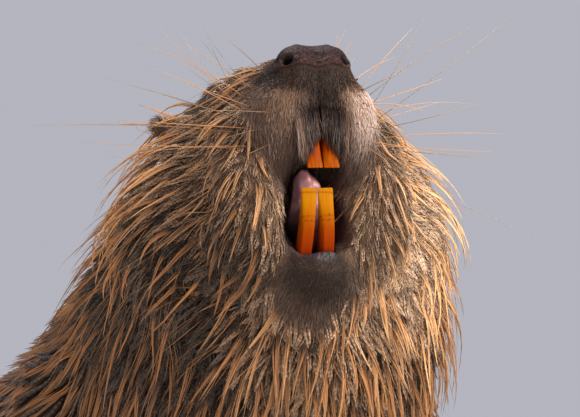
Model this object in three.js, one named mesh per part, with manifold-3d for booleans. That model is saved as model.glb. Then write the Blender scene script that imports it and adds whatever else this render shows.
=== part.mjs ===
// A life-size beaver sitting up on its haunches: forefeet planted, broad tail flat behind it,
// head raised and mouth open over its orange incisors.
//
// Millimetres. The animal faces -Y, its left side is +X and it stands on z = 0. Its surface is
// the outside of the coat. It is described as smoothly blended masses of flesh and fur, meshed
// region by region and parted by thin cuts into the pieces a person would name.

import * as THREE from "three";
import { mergeVertices } from "three/addons/utils/BufferGeometryUtils.js";
import Module from "manifold-3d";

const wasm = await Module();
wasm.setup();

// ---------------------------------------------------------------- driving dimensions

const GAP = 0.3; // width of the cut between two neighbouring pieces
const FAR = 700; // beyond the animal on every side

// The head hangs on the tip of the nose: its own frame has the nose tip at 0, y running back
// along the skull and z up through the crown.
const NOSE_TIP = [13, -330, 386];
const HEAD_PITCH = 33; // muzzle raised above level, degrees
const HEAD_YAW = 5; // nose turned to the animal's left, degrees

const EYE = { at: [33.5, 68, 21.5], radius: 6.4, looks: [14, -5, 3], rim: 5.6 };
const EAR = { at: [41, 110, 28], lean: -42, outward: 10, width: 28, length: 34, wall: 3 };
const INCISOR = { width: 8.2, gap: 0.4, steps: 5, sides: 8, spread: 4 };
const TAIL = { start: 272, length: 265, neck: 33, halfWidth: 64, root: 21, thin: 8, sides: 14 };

// A foot's five toes fan out from one point at the ball of the foot.
const FORE_FOOT = {
  at: [84, -142, 12], heading: -4, fan: [-44, -21, 0, 21, 44], toe: 32, radius: 6, claw: 14,
};
const HIND_FOOT = {
  at: [120, 16, 12], heading: -10, fan: [-31, -15, 0, 15, 31], toe: 68, radius: 8, claw: 14,
};
const WEB = { from: 2.5, thickness: 4, root: 0.2, reach: 0.8, bite: 0.68 }; // shares of a hind toe

// Where each leg leaves the trunk, the height of its ankle, and the room that its foot takes.
const LEGS = {
  fore: {
    cap: { at: [97, -100, 64], radii: [47, 58, 92] },
    ankle: 26,
    room: [[40, -230, 0], [130, -108, 60]],
    foot: FORE_FOOT,
  },
  hind: {
    cap: { at: [112, 88, 76], radii: [60, 104, 92] },
    ankle: 29,
    room: [[62, -110, 0], [190, 154, 60]],
    foot: HIND_FOOT,
  },
};

// Cell sizes of the surface mesh: fine where the form is small.
const CELL = { muzzle: 8.6, jaw: 9, head: 18, throat: 24, neck: 32, trunk: 45, leg: 25, fore: 18, hind: 26 };

const COLOUR = {
  coat: 0x6b4a30,
  face: 0x7a6250,
  nose: 0x2e2320,
  eye: 0x120d0b,
  enamel: 0xd9730f,
  tongue: 0xb0616a,
  foot: 0x2f2825,
  claw: 0x241c18,
  scales: 0x37312e,
};

// ---------------------------------------------------------------- soft shapes
// A shape is a function of a point that gives its distance in mm, negative inside.

const rad = THREE.MathUtils.degToRad;
const SIDES = [["left", 1], ["right", -1]];
const flip = ([x, y, z], side) => [x * side, y, z];

// A frame at a point, turned in degrees about X, then Y, then Z.
function place([x, y, z], [pitch, roll, yaw] = [0, 0, 0]) {
  const turn = new THREE.Euler(rad(pitch), rad(roll), rad(yaw), "ZYX");
  return new THREE.Matrix4().makeRotationFromEuler(turn).setPosition(x, y, z);
}

function inFrame(matrix, shape) {
  const inverse = matrix.clone().invert();
  const q = new THREE.Vector3();
  return (p) => shape(q.copy(p).applyMatrix4(inverse));
}

// An ellipsoid with its centre, half sizes and turn.
function mass(centre, [rx, ry, rz], turn) {
  const inverse = place(centre, turn).invert();
  const q = new THREE.Vector3();
  return (p) => {
    q.copy(p).applyMatrix4(inverse);
    const near = Math.hypot(q.x / rx, q.y / ry, q.z / rz);
    const steep = Math.hypot(q.x / rx ** 2, q.y / ry ** 2, q.z / rz ** 2);
    return near < 1e-6 ? -Math.min(rx, ry, rz) : (near * (near - 1)) / steep;
  };
}

// A limb from a to b, with a radius at each end; flat below 1 thins it in z.
function limb(a, b, ra, rb, flat = 1) {
  const from = new THREE.Vector3(a[0], a[1], a[2] / flat);
  const along = new THREE.Vector3(b[0], b[1], b[2] / flat).sub(from);
  const q = new THREE.Vector3();
  return (p) => {
    q.set(p.x, p.y, p.z / flat).sub(from);
    const t = THREE.MathUtils.clamp(q.dot(along) / along.lengthSq(), 0, 1);
    return (q.addScaledVector(along, -t).length() - THREE.MathUtils.lerp(ra, rb, t)) * Math.min(1, flat);
  };
}

// Two distances run together over a width k, and a hole carved with its edge rounded by k.
const blend = (a, b, k) => Math.min(a, b) - Math.max(k - Math.abs(a - b), 0) ** 2 / (4 * k);
const carve = (a, hole, k) => -blend(-a, hole, k);
const together = (k, ...shapes) => (p) => shapes.reduce((d, shape) => blend(d, shape(p), k), FAR);

// The same shape on both sides of the midplane.
function paired(shape) {
  const q = new THREE.Vector3();
  return (p) => shape(q.set(Math.abs(p.x), p.y, p.z));
}

// ---------------------------------------------------------------- the animal's masses

const headFrame = place(NOSE_TIP, [-HEAD_PITCH, 0, HEAD_YAW]);

const cranium = together(
  10,
  mass([0, 108, 6], [60, 50, 42]), // braincase
  mass([0, 66, 0], [39, 44, 34], [-8, 0, 0]), // face under the eyes
  limb([0, 18, 1], [0, 72, 13], 15, 24), // bridge of the snout
  paired(mass([43, 96, -26], [32, 42, 43], [0, 0, 6])), // chewing muscle
  paired(mass([26, 68, 26], [11, 17, 8], [0, 20, 12])), // brow
  paired(mass([47, 110, -41], [42, 46, 52])), // ruff
  paired(mass([33, 60, -22], [20, 30, 28])), // fur between the whiskers and the cheek
);

const upperMuzzle = together(
  8,
  paired(mass([9, 12, 2], [11.5, 13, 12.6])), // nose
  paired(mass([15, 24, -18], [18, 19, 20], [0, -8, 0])), // whisker pads
  paired(mass([17, 34, -28], [15, 21, 15], [0, -6, 0])), // upper lip
  mass([0, 40, -9], [30, 32, 25]), // jaw bone behind them
);

const lowerJaw = together(
  9,
  mass([0, 58, -89], [16, 13, 11]), // chin
  paired(limb([12, 56, -82], [18, 66, -58], 6, 8)), // lower lip, beside the incisors
  paired(mass([34, 54, -58], [19.5, 26, 34], [32, 0, 0])), // fur that closes the mouth's sides
  limb([0, 70, -92], [0, 112, -92], 12, 30), // under the chin
  paired(limb([14, 72, -84], [34, 112, -74], 15, 27)), // jaw bone and its fur
  mass([0, 124, -88], [46, 40, 38]), // throat
);

const mouthHollow = together(
  6,
  mass([0, 46, -58], [15.5, 18, 25], [32, 0, 0]), // the gape
  limb([0, 50, -55], [0, 86, -52], 12, 9), // back to the throat
);

// The coat lies back from round the eye.
const alongLook = (share) => EYE.at.map((value, i) => value + EYE.looks[i] * share);
const eyeHollow = paired(limb(alongLook(0.25), alongLook(1), EYE.rim, 2 * EYE.rim));

const head = inFrame(headFrame, (p) => blend(cranium(p), blend(upperMuzzle(p), lowerJaw(p), 8), 10));
const hollows = inFrame(headFrame, (p) => Math.min(mouthHollow(p), eyeHollow(p)));

const torso = together(
  45,
  mass([4, -92, 188], [112, 104, 108], [-12, 0, 0]), // shoulders
  mass([0, 16, 150], [134, 150, 118], [-12, 0, 0]), // ribs and belly
  mass([0, 138, 127], [138, 118, 119]), // rump
  limb([4, -90, 232], [12, -225, 296], 80, 64), // nape
  mass([15, -180, 256], [97, 88, 80], [-30, 0, 5]), // neck
  mass([11, -214, 232], [66, 54, 70], [-20, 0, 5]), // chest
);

const tailRoot = limb([0, 205, 60], [0, TAIL.start + 16, TAIL.root - 1], 60, TAIL.neck, 0.68);

function foreLimb(side) {
  return together(
    14,
    limb([88 * side, -98, 190], [95 * side, -80, 108], 42, 33), // upper arm
    limb([94 * side, -82, 102], [85 * side, -120, 36], 29, 18), // forearm
    limb([85 * side, -119, 28], [84 * side, -130, 15], 17, 16), // wrist
    limb([84 * side, -128, 13], [84 * side, -146, 12], 17, 18, 0.66), // palm
  );
}

function hindLimb(side) {
  return together(
    14,
    mass([100 * side, 94, 92], [48, 88, 76], [14, 0, 0]), // thigh
    limb([112 * side, 60, 48], [116 * side, 126, 26], 33, 24), // shank, folded under
    limb([116 * side, 124, 17], [117 * side, 62, 14], 20, 22, 0.75), // heel
    limb([117 * side, 66, 13], [119 * side, 20, 12], 21, 23, 0.6), // sole
  );
}

const limbs = SIDES.flatMap(([, side]) => [foreLimb(side), hindLimb(side)]);

function flesh(p) {
  let d = blend(torso(p), tailRoot(p), 30);
  for (const shape of limbs) d = blend(d, shape(p), 20);
  d = blend(d, head(p), 22);
  return carve(d, hollows(p), 5);
}

// ---------------------------------------------------------------- surface mesh

const STEPS = [[1, 0, 0], [0, 1, 0], [0, 0, 1]];
const RING = [[0, 0], [1, 0], [1, 1], [0, 1]];

// A shape's values on a grid of corners over a box. The rim counts as outside.
function sampled(shape, low, high, cell) {
  const size = low.map((value, i) => Math.ceil((high[i] - value) / cell) + 1);
  const corner = (...at) => new THREE.Vector3(...at.map((n, i) => low[i] + n * cell));
  const id = (i, j, k) => (k * size[1] + j) * size[0] + i;
  const value = new Float32Array(size[0] * size[1] * size[2]);
  for (let k = 0; k < size[2]; k++) {
    for (let j = 0; j < size[1]; j++) {
      for (let i = 0; i < size[0]; i++) {
        const rim = [i, j, k].some((n, axis) => n === 0 || n === size[axis] - 1);
        value[id(i, j, k)] = rim ? cell : shape(corner(i, j, k)) || 1e-4;
      }
    }
  }
  return { size, corner, id, value };
}

// Where the surface crosses the edges of one cell, on average.
function crossing({ corner, id, value }, cellAt) {
  const sum = new THREE.Vector3();
  let count = 0;
  for (const [axis, step] of STEPS.entries()) {
    for (const [u, v] of RING) {
      const a = [...cellAt];
      a[(axis + 1) % 3] += u;
      a[(axis + 2) % 3] += v;
      const b = a.map((n, i) => n + step[i]);
      const [here, there] = [value[id(...a)], value[id(...b)]];
      if (here < 0 === there < 0) continue;
      sum.add(corner(...a).lerp(corner(...b), here / (here - there)));
      count++;
    }
  }
  return sum.divideScalar(count);
}

// Moves a point on to the surface by the slope of the shape, within its cell.
function settled(shape, point, cell) {
  const start = point.clone();
  const probe = cell * 0.05;
  for (let turn = 0; turn < 2; turn++) {
    const d = shape(point);
    const slope = new THREE.Vector3(
      shape(point.clone().setX(point.x + probe)) - d,
      shape(point.clone().setY(point.y + probe)) - d,
      shape(point.clone().setZ(point.z + probe)) - d,
    ).divideScalar(probe);
    point.addScaledVector(slope, -d / Math.max(slope.lengthSq(), 0.3));
  }
  return start.add(point.sub(start).clampLength(0, cell * 0.4));
}

// Meshes the zero level of a shape inside a box, with one vertex for each cell that it crosses.
function surface(shape, low, high, cell) {
  const grid = sampled(shape, low, high, cell);
  const { size, id, value } = grid;
  const vertexOf = new Map();
  const points = [];
  const triangles = [];

  function cellVertex(at) {
    const key = id(...at);
    if (!vertexOf.has(key)) {
      vertexOf.set(key, points.length);
      points.push(settled(shape, crossing(grid, at), cell));
    }
    return vertexOf.get(key);
  }

  function addQuad([a, b, c, d]) {
    const across = points[a].distanceTo(points[c]) < points[b].distanceTo(points[d]);
    triangles.push(...(across ? [a, b, c, a, c, d] : [a, b, d, b, c, d]));
  }

  for (let k = 0; k < size[2] - 1; k++) {
    for (let j = 0; j < size[1] - 1; j++) {
      for (let i = 0; i < size[0] - 1; i++) {
        const inside = value[id(i, j, k)] < 0;
        for (const [axis, [dx, dy, dz]] of STEPS.entries()) {
          if (inside === value[id(i + dx, j + dy, k + dz)] < 0) continue;
          const [u, v] = [STEPS[(axis + 1) % 3], STEPS[(axis + 2) % 3]];
          const ring = RING.map(([a, b]) => cellVertex([i, j, k].map((n, m) => n - a * u[m] - b * v[m])));
          addQuad(inside ? ring : ring.reverse());
        }
      }
    }
  }
  return solid(points.flatMap((p) => p.toArray()), triangles);
}

// ---------------------------------------------------------------- solids

function solid(vertices, triangles) {
  return new wasm.Manifold(
    new wasm.Mesh({
      numProp: 3,
      vertProperties: new Float32Array(vertices),
      triVerts: new Uint32Array(triangles),
    }),
  );
}

// The solid of a three.js geometry, moved by a matrix: vertices closer than the weld are merged.
function solidOf(geometry, matrix = new THREE.Matrix4(), weld = 1e-3) {
  const bare = new THREE.BufferGeometry();
  bare.setAttribute("position", geometry.getAttribute("position").clone());
  bare.setIndex(geometry.index);
  const merged = mergeVertices(bare, weld).applyMatrix4(matrix);
  const corners = Array.from(merged.index.array);
  const triangles = [];
  for (let i = 0; i < corners.length; i += 3) {
    const [a, b, c] = corners.slice(i, i + 3);
    if (a !== b && b !== c && c !== a) triangles.push(a, b, c);
  }
  const { array } = merged.getAttribute("position");
  const made = solid(array, triangles);
  return made.volume() > 0 ? made : solid(array, triangles.reverse());
}

// A closed surface through rings of points, each end closed by a fan.
function loft(rings) {
  const count = rings[0].length;
  const middle = (ring) => ring.reduce((sum, p) => sum.add(p), new THREE.Vector3()).divideScalar(count);
  const points = [...rings.flat(), middle(rings[0]), middle(rings.at(-1))];
  const index = [];
  rings.forEach((_, r) => {
    for (let i = 0; i < count; i++) {
      const [a, b] = [r * count + i, r * count + ((i + 1) % count)];
      if (r === 0) index.push(points.length - 2, b, a);
      if (r === rings.length - 1) index.push(points.length - 1, a, b);
      else index.push(a, b, b + count, a, b + count, a + count);
    }
  });
  const geometry = new THREE.BufferGeometry().setFromPoints(points);
  geometry.setIndex(index);
  return geometry;
}

// Points round a superellipse of half size 1: exponents below 1 square its corners.
function superellipse(count, across = 1, along = 1) {
  return Array.from({ length: count }, (_, i) => {
    const angle = (2 * Math.PI * (i + 0.5)) / count;
    const [c, s] = [Math.cos(angle), Math.sin(angle)];
    return [Math.sign(c) * Math.abs(c) ** across, Math.sign(s) * Math.abs(s) ** along];
  });
}

// A box between two corners, in a frame of its own.
function block([x0, y0, z0], [x1, y1, z1], matrix = new THREE.Matrix4()) {
  const box = new THREE.BoxGeometry(x1 - x0, y1 - y0, z1 - z0);
  box.translate((x0 + x1) / 2, (y0 + y1) / 2, (z0 + z1) / 2);
  return solidOf(box, matrix);
}

// An ellipsoid, in a frame of its own.
function ball(centre, radii, matrix = new THREE.Matrix4(), segments = 16) {
  const sphere = new THREE.SphereGeometry(1, segments, Math.round(segments * 0.6));
  sphere.scale(...radii).translate(...centre);
  return solidOf(sphere, matrix);
}

const largest = (shape) => shape.decompose().sort((a, b) => b.volume() - a.volume())[0];

// A copy a little larger all round, for the room that a piece is set in.
function grown(shape) {
  const { min, max } = shape.boundingBox();
  const middle = min.map((low, i) => (low + max[i]) / 2);
  return shape
    .translate(middle.map((value) => -value))
    .scale(min.map((low, i) => 1 + (2 * GAP) / (max[i] - low)))
    .translate(middle);
}

// ---------------------------------------------------------------- pieces and cuts

const beaver = new THREE.Group();
const regions = {};
for (const name of ["head", "body", "legs"]) {
  regions[name] = new THREE.Group();
  beaver.add(regions[name]);
}

function geometryOf(shape) {
  const { vertProperties, triVerts } = shape.getMesh();
  const geometry = new THREE.BufferGeometry();
  geometry.setAttribute("position", new THREE.BufferAttribute(Float32Array.from(vertProperties), 3));
  geometry.setIndex(new THREE.BufferAttribute(Uint32Array.from(triVerts), 1));
  return geometry;
}

// Adds a solid to the scene graph as a named mesh; slivers that a cut leaves are dropped.
function piece(region, name, shape, color, roughness = 0.8) {
  const welded = solidOf(geometryOf(largest(shape)), new THREE.Matrix4(), GAP / 15);
  const geometry = geometryOf(largest(welded));
  geometry.computeVertexNormals();
  const mesh = new THREE.Mesh(geometry, new THREE.MeshStandardMaterial({ color, roughness, metalness: 0 }));
  mesh.name = name;
  regions[region].add(mesh);
}

// The half spaces on either side of a plane, each kept back from it by half a gap.
const behind = (plane) => block([-FAR, GAP / 2, -FAR], [FAR, FAR, FAR], plane);
const before = (plane) => block([-FAR, -FAR, -FAR], [FAR, -GAP / 2, FAR], plane);
const above = (plane) => block([-FAR, -FAR, GAP / 2], [FAR, FAR, FAR], plane);
const below = (plane) => block([-FAR, -FAR, -FAR], [FAR, FAR, -GAP / 2], plane);

const inHead = (at, turn) => headFrame.clone().multiply(place(at, turn));
const muzzleBack = inHead([0, 46, 0]);
const jawLine = inHead([0, 60, -56], [8, 0, 0]);
const jawBack = inHead([0, 84, -80], [12, 0, 0]);
const nape = inHead([0, 130, -30], [-6, 0, 0]);
const withers = place([4, -128, 220], [-42, 0, 3]);
const tailBase = place([0, 240, 40], [-40, 0, 0]);
const tailStart = place([0, TAIL.start, 0]);
const floor = above(place([0, 0, -GAP / 2]));

// The flesh inside a box, cut flat where it stands on the floor.
const fleshIn = (low, high, cell) => surface(flesh, low, high, cell).intersect(floor);

// ---------------------------------------------------------------- eyes, teeth and tongue

const curve = (...points) => new THREE.SplineCurve(points.map(([u, v]) => new THREE.Vector2(u, v)));

// Front and back of the incisors in y and z of the head, from root to tip. The upper pair bows
// down to a chisel edge; the lower pair sweeps up and forward out of the jaw.
const UPPER_TOOTH = [
  curve([16.5, -27], [15.2, -38], [18.5, -52]),
  curve([27, -27], [25, -42], [19.6, -51.6]),
];
const LOWER_TOOTH = [
  curve([60, -90], [41, -76], [31.5, -55.8]),
  curve([68, -82], [47, -68], [32.4, -56.4]),
];

function tooth([front, back], side, matrix) {
  const { width, gap, steps, sides } = INCISOR;
  const rings = [];
  for (let i = 0; i <= steps; i++) {
    const [f, b] = [front.getPoint(i / steps), back.getPoint(i / steps)];
    const middle = f.clone().add(b).divideScalar(2);
    const half = f.clone().sub(b).divideScalar(2);
    rings.push(
      superellipse(sides, 0.45, 0.7).map(([across, forward]) => {
        const at = middle.clone().addScaledVector(half, forward);
        return new THREE.Vector3((side * (width + gap)) / 2 + (across * width) / 2, at.x, at.y);
      }),
    );
  }
  return solidOf(loft(rings), matrix);
}

const inset = [];
function insetPiece(name, shape, colour, roughness) {
  piece("head", name, shape, colour, roughness);
  inset.push(grown(shape));
}

for (const [name, side] of SIDES) {
  const spread = inHead([-1, 0, -59], [0, -INCISOR.spread * side, 0]).multiply(place([0, 0, 59]));
  const eye = ball(flip(EYE.at, side), Array(3).fill(EYE.radius), headFrame, 12);
  insetPiece("eye_" + name, eye, COLOUR.eye, 0.1);
  insetPiece("upper_incisor_" + name, tooth(UPPER_TOOTH, side, headFrame), COLOUR.enamel, 0.3);
  insetPiece("lower_incisor_" + name, tooth(LOWER_TOOTH, side, spread), COLOUR.enamel, 0.3);
}

const tongueShape = together(
  6,
  limb([0, 88, -64], [0, 58, -57], 13, 10.5), // body
  limb([-1, 58, -56], [-2, 43, -42.5], 9, 7), // tip, raised behind the lower teeth
);
const tongue = surface(inFrame(headFrame, tongueShape), [-30, -330, 250], [60, -215, 360], CELL.jaw);
insetPiece("tongue", tongue, COLOUR.tongue, 0.4);

// ---------------------------------------------------------------- head

const withRoom = (shape) => inset.reduce((rest, hole) => rest.subtract(hole), shape);
const nosePad = (by) => ball([0, 8, 4], [21 + by, 13 + by, 11 + by], headFrame);

const muzzleFlesh = fleshIn([-53, -351, 286], [77, -265, 405], CELL.muzzle);
const headFlesh = fleshIn([-130, -330, 190], [150, -140, 420], CELL.head).intersect(before(nape));
const jawFlesh = fleshIn([-110, -350, 205], [135, -240, 345], CELL.jaw).intersect(below(jawLine));
const throatFlesh = fleshIn([-120, -340, 195], [145, -190, 355], CELL.throat).intersect(below(jawLine));
const muzzle = muzzleFlesh.intersect(before(muzzleBack)).intersect(above(jawLine)).subtract(nosePad(GAP));

piece("head", "nose_pad", muzzleFlesh.intersect(nosePad(0)), COLOUR.nose, 0.55);
piece("head", "muzzle", withRoom(muzzle), COLOUR.face);
const skull = headFlesh.intersect(behind(muzzleBack)).intersect(above(jawLine));
piece("head", "head", withRoom(skull), COLOUR.coat);
piece("head", "lower_jaw", withRoom(jawFlesh.intersect(before(jawBack))), COLOUR.face);
const throat = throatFlesh.intersect(behind(jawBack)).intersect(before(nape));
piece("head", "throat", withRoom(throat), COLOUR.coat);

// An ear is a thick cup, laid back on the fur.
for (const [name, side] of SIDES) {
  const { at, lean, outward, width, length, wall } = EAR;
  const frame = inHead(flip(at, side), [lean, 0, -outward * side]);
  const [across, up] = [width / 2, length / 2];
  const cup = ball([0, 0, length * 0.36], [across, wall * 1.6, up], frame, 12);
  const bowl = ball([0, -wall * 1.3, length * 0.42], [across - wall, wall * 1.5, up - wall], frame, 10);
  let ear = cup.subtract(bowl);
  for (const away of [[0, 0, GAP], [GAP * side, 0, 0], [0, GAP, 0]]) {
    ear = ear.subtract(headFlesh.translate(away));
  }
  piece("head", "ear_" + name, ear, COLOUR.coat);
}

// ---------------------------------------------------------------- neck and tail

const neckFlesh = fleshIn([-150, -330, 90], [170, -40, 400], CELL.neck);
piece("body", "neck", neckFlesh.intersect(behind(nape)).intersect(before(withers)), COLOUR.coat);

const rootFlesh = fleshIn([-90, 185, -22], [90, 330, 150], CELL.leg);
piece("body", "tail_root", rootFlesh.intersect(behind(tailBase)).intersect(before(tailStart)), COLOUR.coat);

// The scaly paddle: an oval that thins towards its rim, lying on the floor.
function paddle() {
  const { start, length, neck, halfWidth, root, thin, sides } = TAIL;
  const rings = [0, 0.12, 0.26, 0.42, 0.58, 0.72, 0.84, 0.93, 0.98, 1].map((t) => {
    const swelling = neck + (halfWidth - neck) * Math.sin(Math.PI * Math.min(t, 0.5));
    const across = swelling * Math.sqrt(Math.max(1 - Math.max(2 * t - 1, 0) ** 2.4, 0.02));
    const up = (thin + (root - thin) * (1 - t) ** 3) * Math.sqrt(1.05 - t ** 8);
    return superellipse(sides, 0.9, 0.9).map(
      ([u, v]) => new THREE.Vector3(u * across, start + GAP / 2 + t * length, up - 0.6 + v * up),
    );
  });
  return solidOf(loft(rings)).intersect(floor);
}

piece("body", "tail", paddle(), COLOUR.scales, 0.6);

// ---------------------------------------------------------------- legs, feet and claws

const capOf = ({ at, radii }, side, by = 0) =>
  ball(flip(at, side), radii.map((r) => r + by), new THREE.Matrix4(), 12);
const widened = ([low, high], by) => [low.map((value) => value - by), high.map((value) => value + by)];
const mirrored = ([low, high], side) =>
  side > 0 ? [low, high] : [[-high[0], low[1], low[2]], [-low[0], high[1], high[2]]];

// The five rays of a foot: the frame at the root of each toe, and the toe's length.
function raysOf({ at, heading, fan, toe }, side) {
  return fan.map((angle, i) => ({
    long: toe * (1 - 0.09 * Math.abs(i - 2)),
    frame: place(flip(at, side), [0, 0, (heading + angle) * side]),
  }));
}

// A toe arches forward from its root and comes down on its pad: the share of its length, the
// height and the thickness at each station.
function toe({ at: [, , height], radius }, { long, frame }) {
  const stations = [
    [-0.1, -1, 0.8],
    [0.3, 0.6, 1],
    [0.7, 0.6, 0.92],
    [1, radius * 0.66 - height, 0.56],
  ];
  const rings = stations.map(([share, rise, swell]) => {
    const r = radius * swell;
    return superellipse(6).map(([u, v]) => new THREE.Vector3(u * r, -share * long, rise + v * r));
  });
  return solidOf(loft(rings), frame);
}

// The web between the hind toes, scalloped between their tips.
function web(rays) {
  const on = ({ long, frame }, share) => new THREE.Vector3(0, -long * share, 0).applyMatrix4(frame);
  const outline = new THREE.Shape();
  const root = on(rays[0], WEB.root);
  outline.moveTo(root.x, root.y);
  rays.forEach((ray, i) => {
    const end = on(ray, WEB.reach);
    if (i === 0) return outline.lineTo(end.x, end.y);
    const bite = on(rays[i - 1], WEB.bite).lerp(on(ray, WEB.bite), 0.5);
    return outline.quadraticCurveTo(bite.x, bite.y, end.x, end.y);
  });
  const heel = on(rays.at(-1), WEB.root);
  outline.lineTo(heel.x, heel.y);
  const settings = { depth: WEB.thickness, bevelEnabled: false, curveSegments: 2 };
  return solidOf(new THREE.ExtrudeGeometry(outline, settings), place([0, 0, WEB.from]));
}

// A claw leaves the end of its toe along -y and hooks down.
function claw({ at: [, , height], radius, claw: length }, { long, frame }) {
  const rings = [0, 0.5, 1].map((t) => {
    const r = radius * 0.42 * (1 - 0.8 * t * t);
    const drop = length * 0.1 * t * t;
    return superellipse(5).map(([u, v]) => new THREE.Vector3(u * r * 0.85, -length * t, v * r - drop));
  });
  return solidOf(loft(rings), frame.clone().multiply(place([0, -long - GAP, radius * 0.66 - height])));
}

const trunkFlesh = fleshIn([-190, -260, -30], [190, 300, 345], CELL.trunk);
let trunk = trunkFlesh.intersect(behind(withers)).intersect(before(tailBase));

for (const [kind, { cap, ankle, room, foot: spec }] of Object.entries(LEGS)) {
  const joint = place([0, 0, ankle]);
  for (const [name, side] of SIDES) {
    const [low, high] = [-1, 1].map((end) => cap.at.map((v, i) => v + end * cap.radii[i]));
    const legFlesh = fleshIn(...widened(mirrored([low, high], side), 14), CELL.leg);
    const leg = legFlesh.intersect(capOf(cap, side)).intersect(above(joint));
    const rays = raysOf(spec, side);
    let foot = fleshIn(...widened(mirrored(room, side), 14), CELL[kind]);
    for (const ray of rays) foot = foot.add(toe(spec, ray));
    if (kind === "hind") foot = foot.add(web(rays));
    foot = foot.intersect(block(...mirrored(room, side))).intersect(floor).intersect(below(joint));
    piece("legs", `${kind}leg_${name}`, leg, COLOUR.coat);
    piece("legs", `${kind}foot_${name}`, foot, COLOUR.foot, 0.6);
    rays.forEach((ray, i) => {
      piece("legs", `${kind}claw_${name}_${i + 1}`, claw(spec, ray), COLOUR.claw, 0.35);
    });
    const footRoom = block(...widened(mirrored(room, side), GAP)).intersect(below(joint));
    trunk = trunk.subtract(capOf(cap, side, GAP)).subtract(footRoom);
  }
}

piece("body", "trunk", trunk, COLOUR.coat);

// ---------------------------------------------------------------- standing on its origin

const extent = new THREE.Box3().setFromObject(beaver);
const centre = extent.getCenter(new THREE.Vector3());
beaver.position.set(-centre.x, -centre.y, -extent.min.z);

export default beaver;
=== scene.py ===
"""A life-size beaver that sits with its head raised and its mouth open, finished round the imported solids.

One skin is cast from the solids of flesh and modelled further. Tufts of fur grow from it as solid mesh:
crimped underfur, long wet guard hair in pointed bunches, short fur on the muzzle and long whiskers.
Eyes, teeth, tongue and claws are pieces of their own. Lengths in millimetres carry the suffix _MM.
"""

import math

import bmesh
import bpy
import numpy as np
from bpy.props import FloatProperty, FloatVectorProperty, IntProperty, PointerProperty
from mathutils import Matrix, Vector
from mathutils.bvhtree import BVHTree


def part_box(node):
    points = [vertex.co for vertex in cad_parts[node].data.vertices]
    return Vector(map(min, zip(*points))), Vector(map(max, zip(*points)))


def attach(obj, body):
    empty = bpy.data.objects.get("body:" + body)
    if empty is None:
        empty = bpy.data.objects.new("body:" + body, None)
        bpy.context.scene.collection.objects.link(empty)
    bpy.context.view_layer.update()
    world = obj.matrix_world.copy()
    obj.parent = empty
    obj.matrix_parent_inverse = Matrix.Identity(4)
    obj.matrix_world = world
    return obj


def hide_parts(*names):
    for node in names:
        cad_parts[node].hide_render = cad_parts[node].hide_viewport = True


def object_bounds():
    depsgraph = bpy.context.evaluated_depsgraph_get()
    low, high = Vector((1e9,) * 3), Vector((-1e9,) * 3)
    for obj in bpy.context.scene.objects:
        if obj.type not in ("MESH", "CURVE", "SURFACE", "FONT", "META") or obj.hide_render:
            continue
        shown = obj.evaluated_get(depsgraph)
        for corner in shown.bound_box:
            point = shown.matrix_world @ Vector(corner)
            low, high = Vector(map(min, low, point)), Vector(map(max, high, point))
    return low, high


bl_info = {
    "name": "Beaver",
    "version": (1, 0, 0),
    "blender": (4, 5, 0),
    "location": "View3D > Sidebar > Beaver",
    "description": "Finishes a sitting beaver with skin, fur, whiskers, teeth, eyes and claws",
    "category": "Add Mesh",
}

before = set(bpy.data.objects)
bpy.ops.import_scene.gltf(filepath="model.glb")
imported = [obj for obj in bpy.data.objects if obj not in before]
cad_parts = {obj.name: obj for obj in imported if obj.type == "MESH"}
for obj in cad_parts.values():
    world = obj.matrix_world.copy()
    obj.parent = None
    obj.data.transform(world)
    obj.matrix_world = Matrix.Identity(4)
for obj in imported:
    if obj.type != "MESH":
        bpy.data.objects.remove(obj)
CAD_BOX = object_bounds()

MM = 0.001
SIDES = ("left", "right")

# The head's own frame is found from the eyes: x to its left, y back from the nose tip, z up over the nose.
HEAD_PITCH = math.radians(33)
HEAD_YAW = math.radians(5)
EYE_MM = np.array([33.5, 68.0, 21.5])
EYE_RADIUS_MM = 6.4
EYE_CORNER_MM = np.array([38.5, 62.6, 22.0])
NOSTRIL_MM = np.array([16.0, 0.6, 1.6])
MIRROR = np.array([-1, 1, 1])

FLESH = (
    "nose_pad", "muzzle", "head", "lower_jaw", "throat", "ear_left", "ear_right", "neck", "trunk",
    "tail_root", "tail", "foreleg_left", "foreleg_right", "forefoot_left", "forefoot_right",
    "hindleg_left", "hindleg_right", "hindfoot_left", "hindfoot_right",
)
# The kinds of surface on the skin, and the start of the names of the solids that each one covers.
REGIONS = {
    "nose": ("nose_pad",),
    "muzzle": ("muzzle",),
    "jaw": ("lower_jaw",),
    "crown": ("head",),
    "ear": ("ear",),
    "neck": ("throat", "neck"),
    "trunk": ("trunk",),
    "leg": ("foreleg", "hindleg"),
    "foot": ("forefoot", "hindfoot"),
    "rump": ("tail_root",),
    "tail": ("tail",),
}


# ---------------------------------------------------------------- places on the animal


def turned(pitch, yaw):
    """The axes of a frame that is pitched up and then yawed, as the columns of a matrix."""
    across = (math.cos(yaw), math.sin(yaw), 0)
    back = (-math.sin(yaw) * math.cos(pitch), math.cos(yaw) * math.cos(pitch), -math.sin(pitch))
    return np.column_stack([across, back, np.cross(across, back)])


def centre_of(node):
    low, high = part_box(node)
    return np.array((low + high) / 2)


HEAD_AXES = turned(HEAD_PITCH, HEAD_YAW)
EYES_MIDDLE = (centre_of("eye_left") + centre_of("eye_right")) / 2
NOSE_TIP = EYES_MIDDLE - HEAD_AXES @ (EYE_MM * (0, 1, 1)) * MM


def in_head(points):
    """Points of the animal, in metres, as millimetres in the head's frame."""
    return (points - NOSE_TIP) @ HEAD_AXES / MM


def from_head(points):
    """Millimetres in the head's frame as points of the animal, in metres."""
    return NOSE_TIP + np.asarray(points, float) * MM @ HEAD_AXES.T


def clipped(values):
    return np.clip(values, 0, 1)


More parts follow.
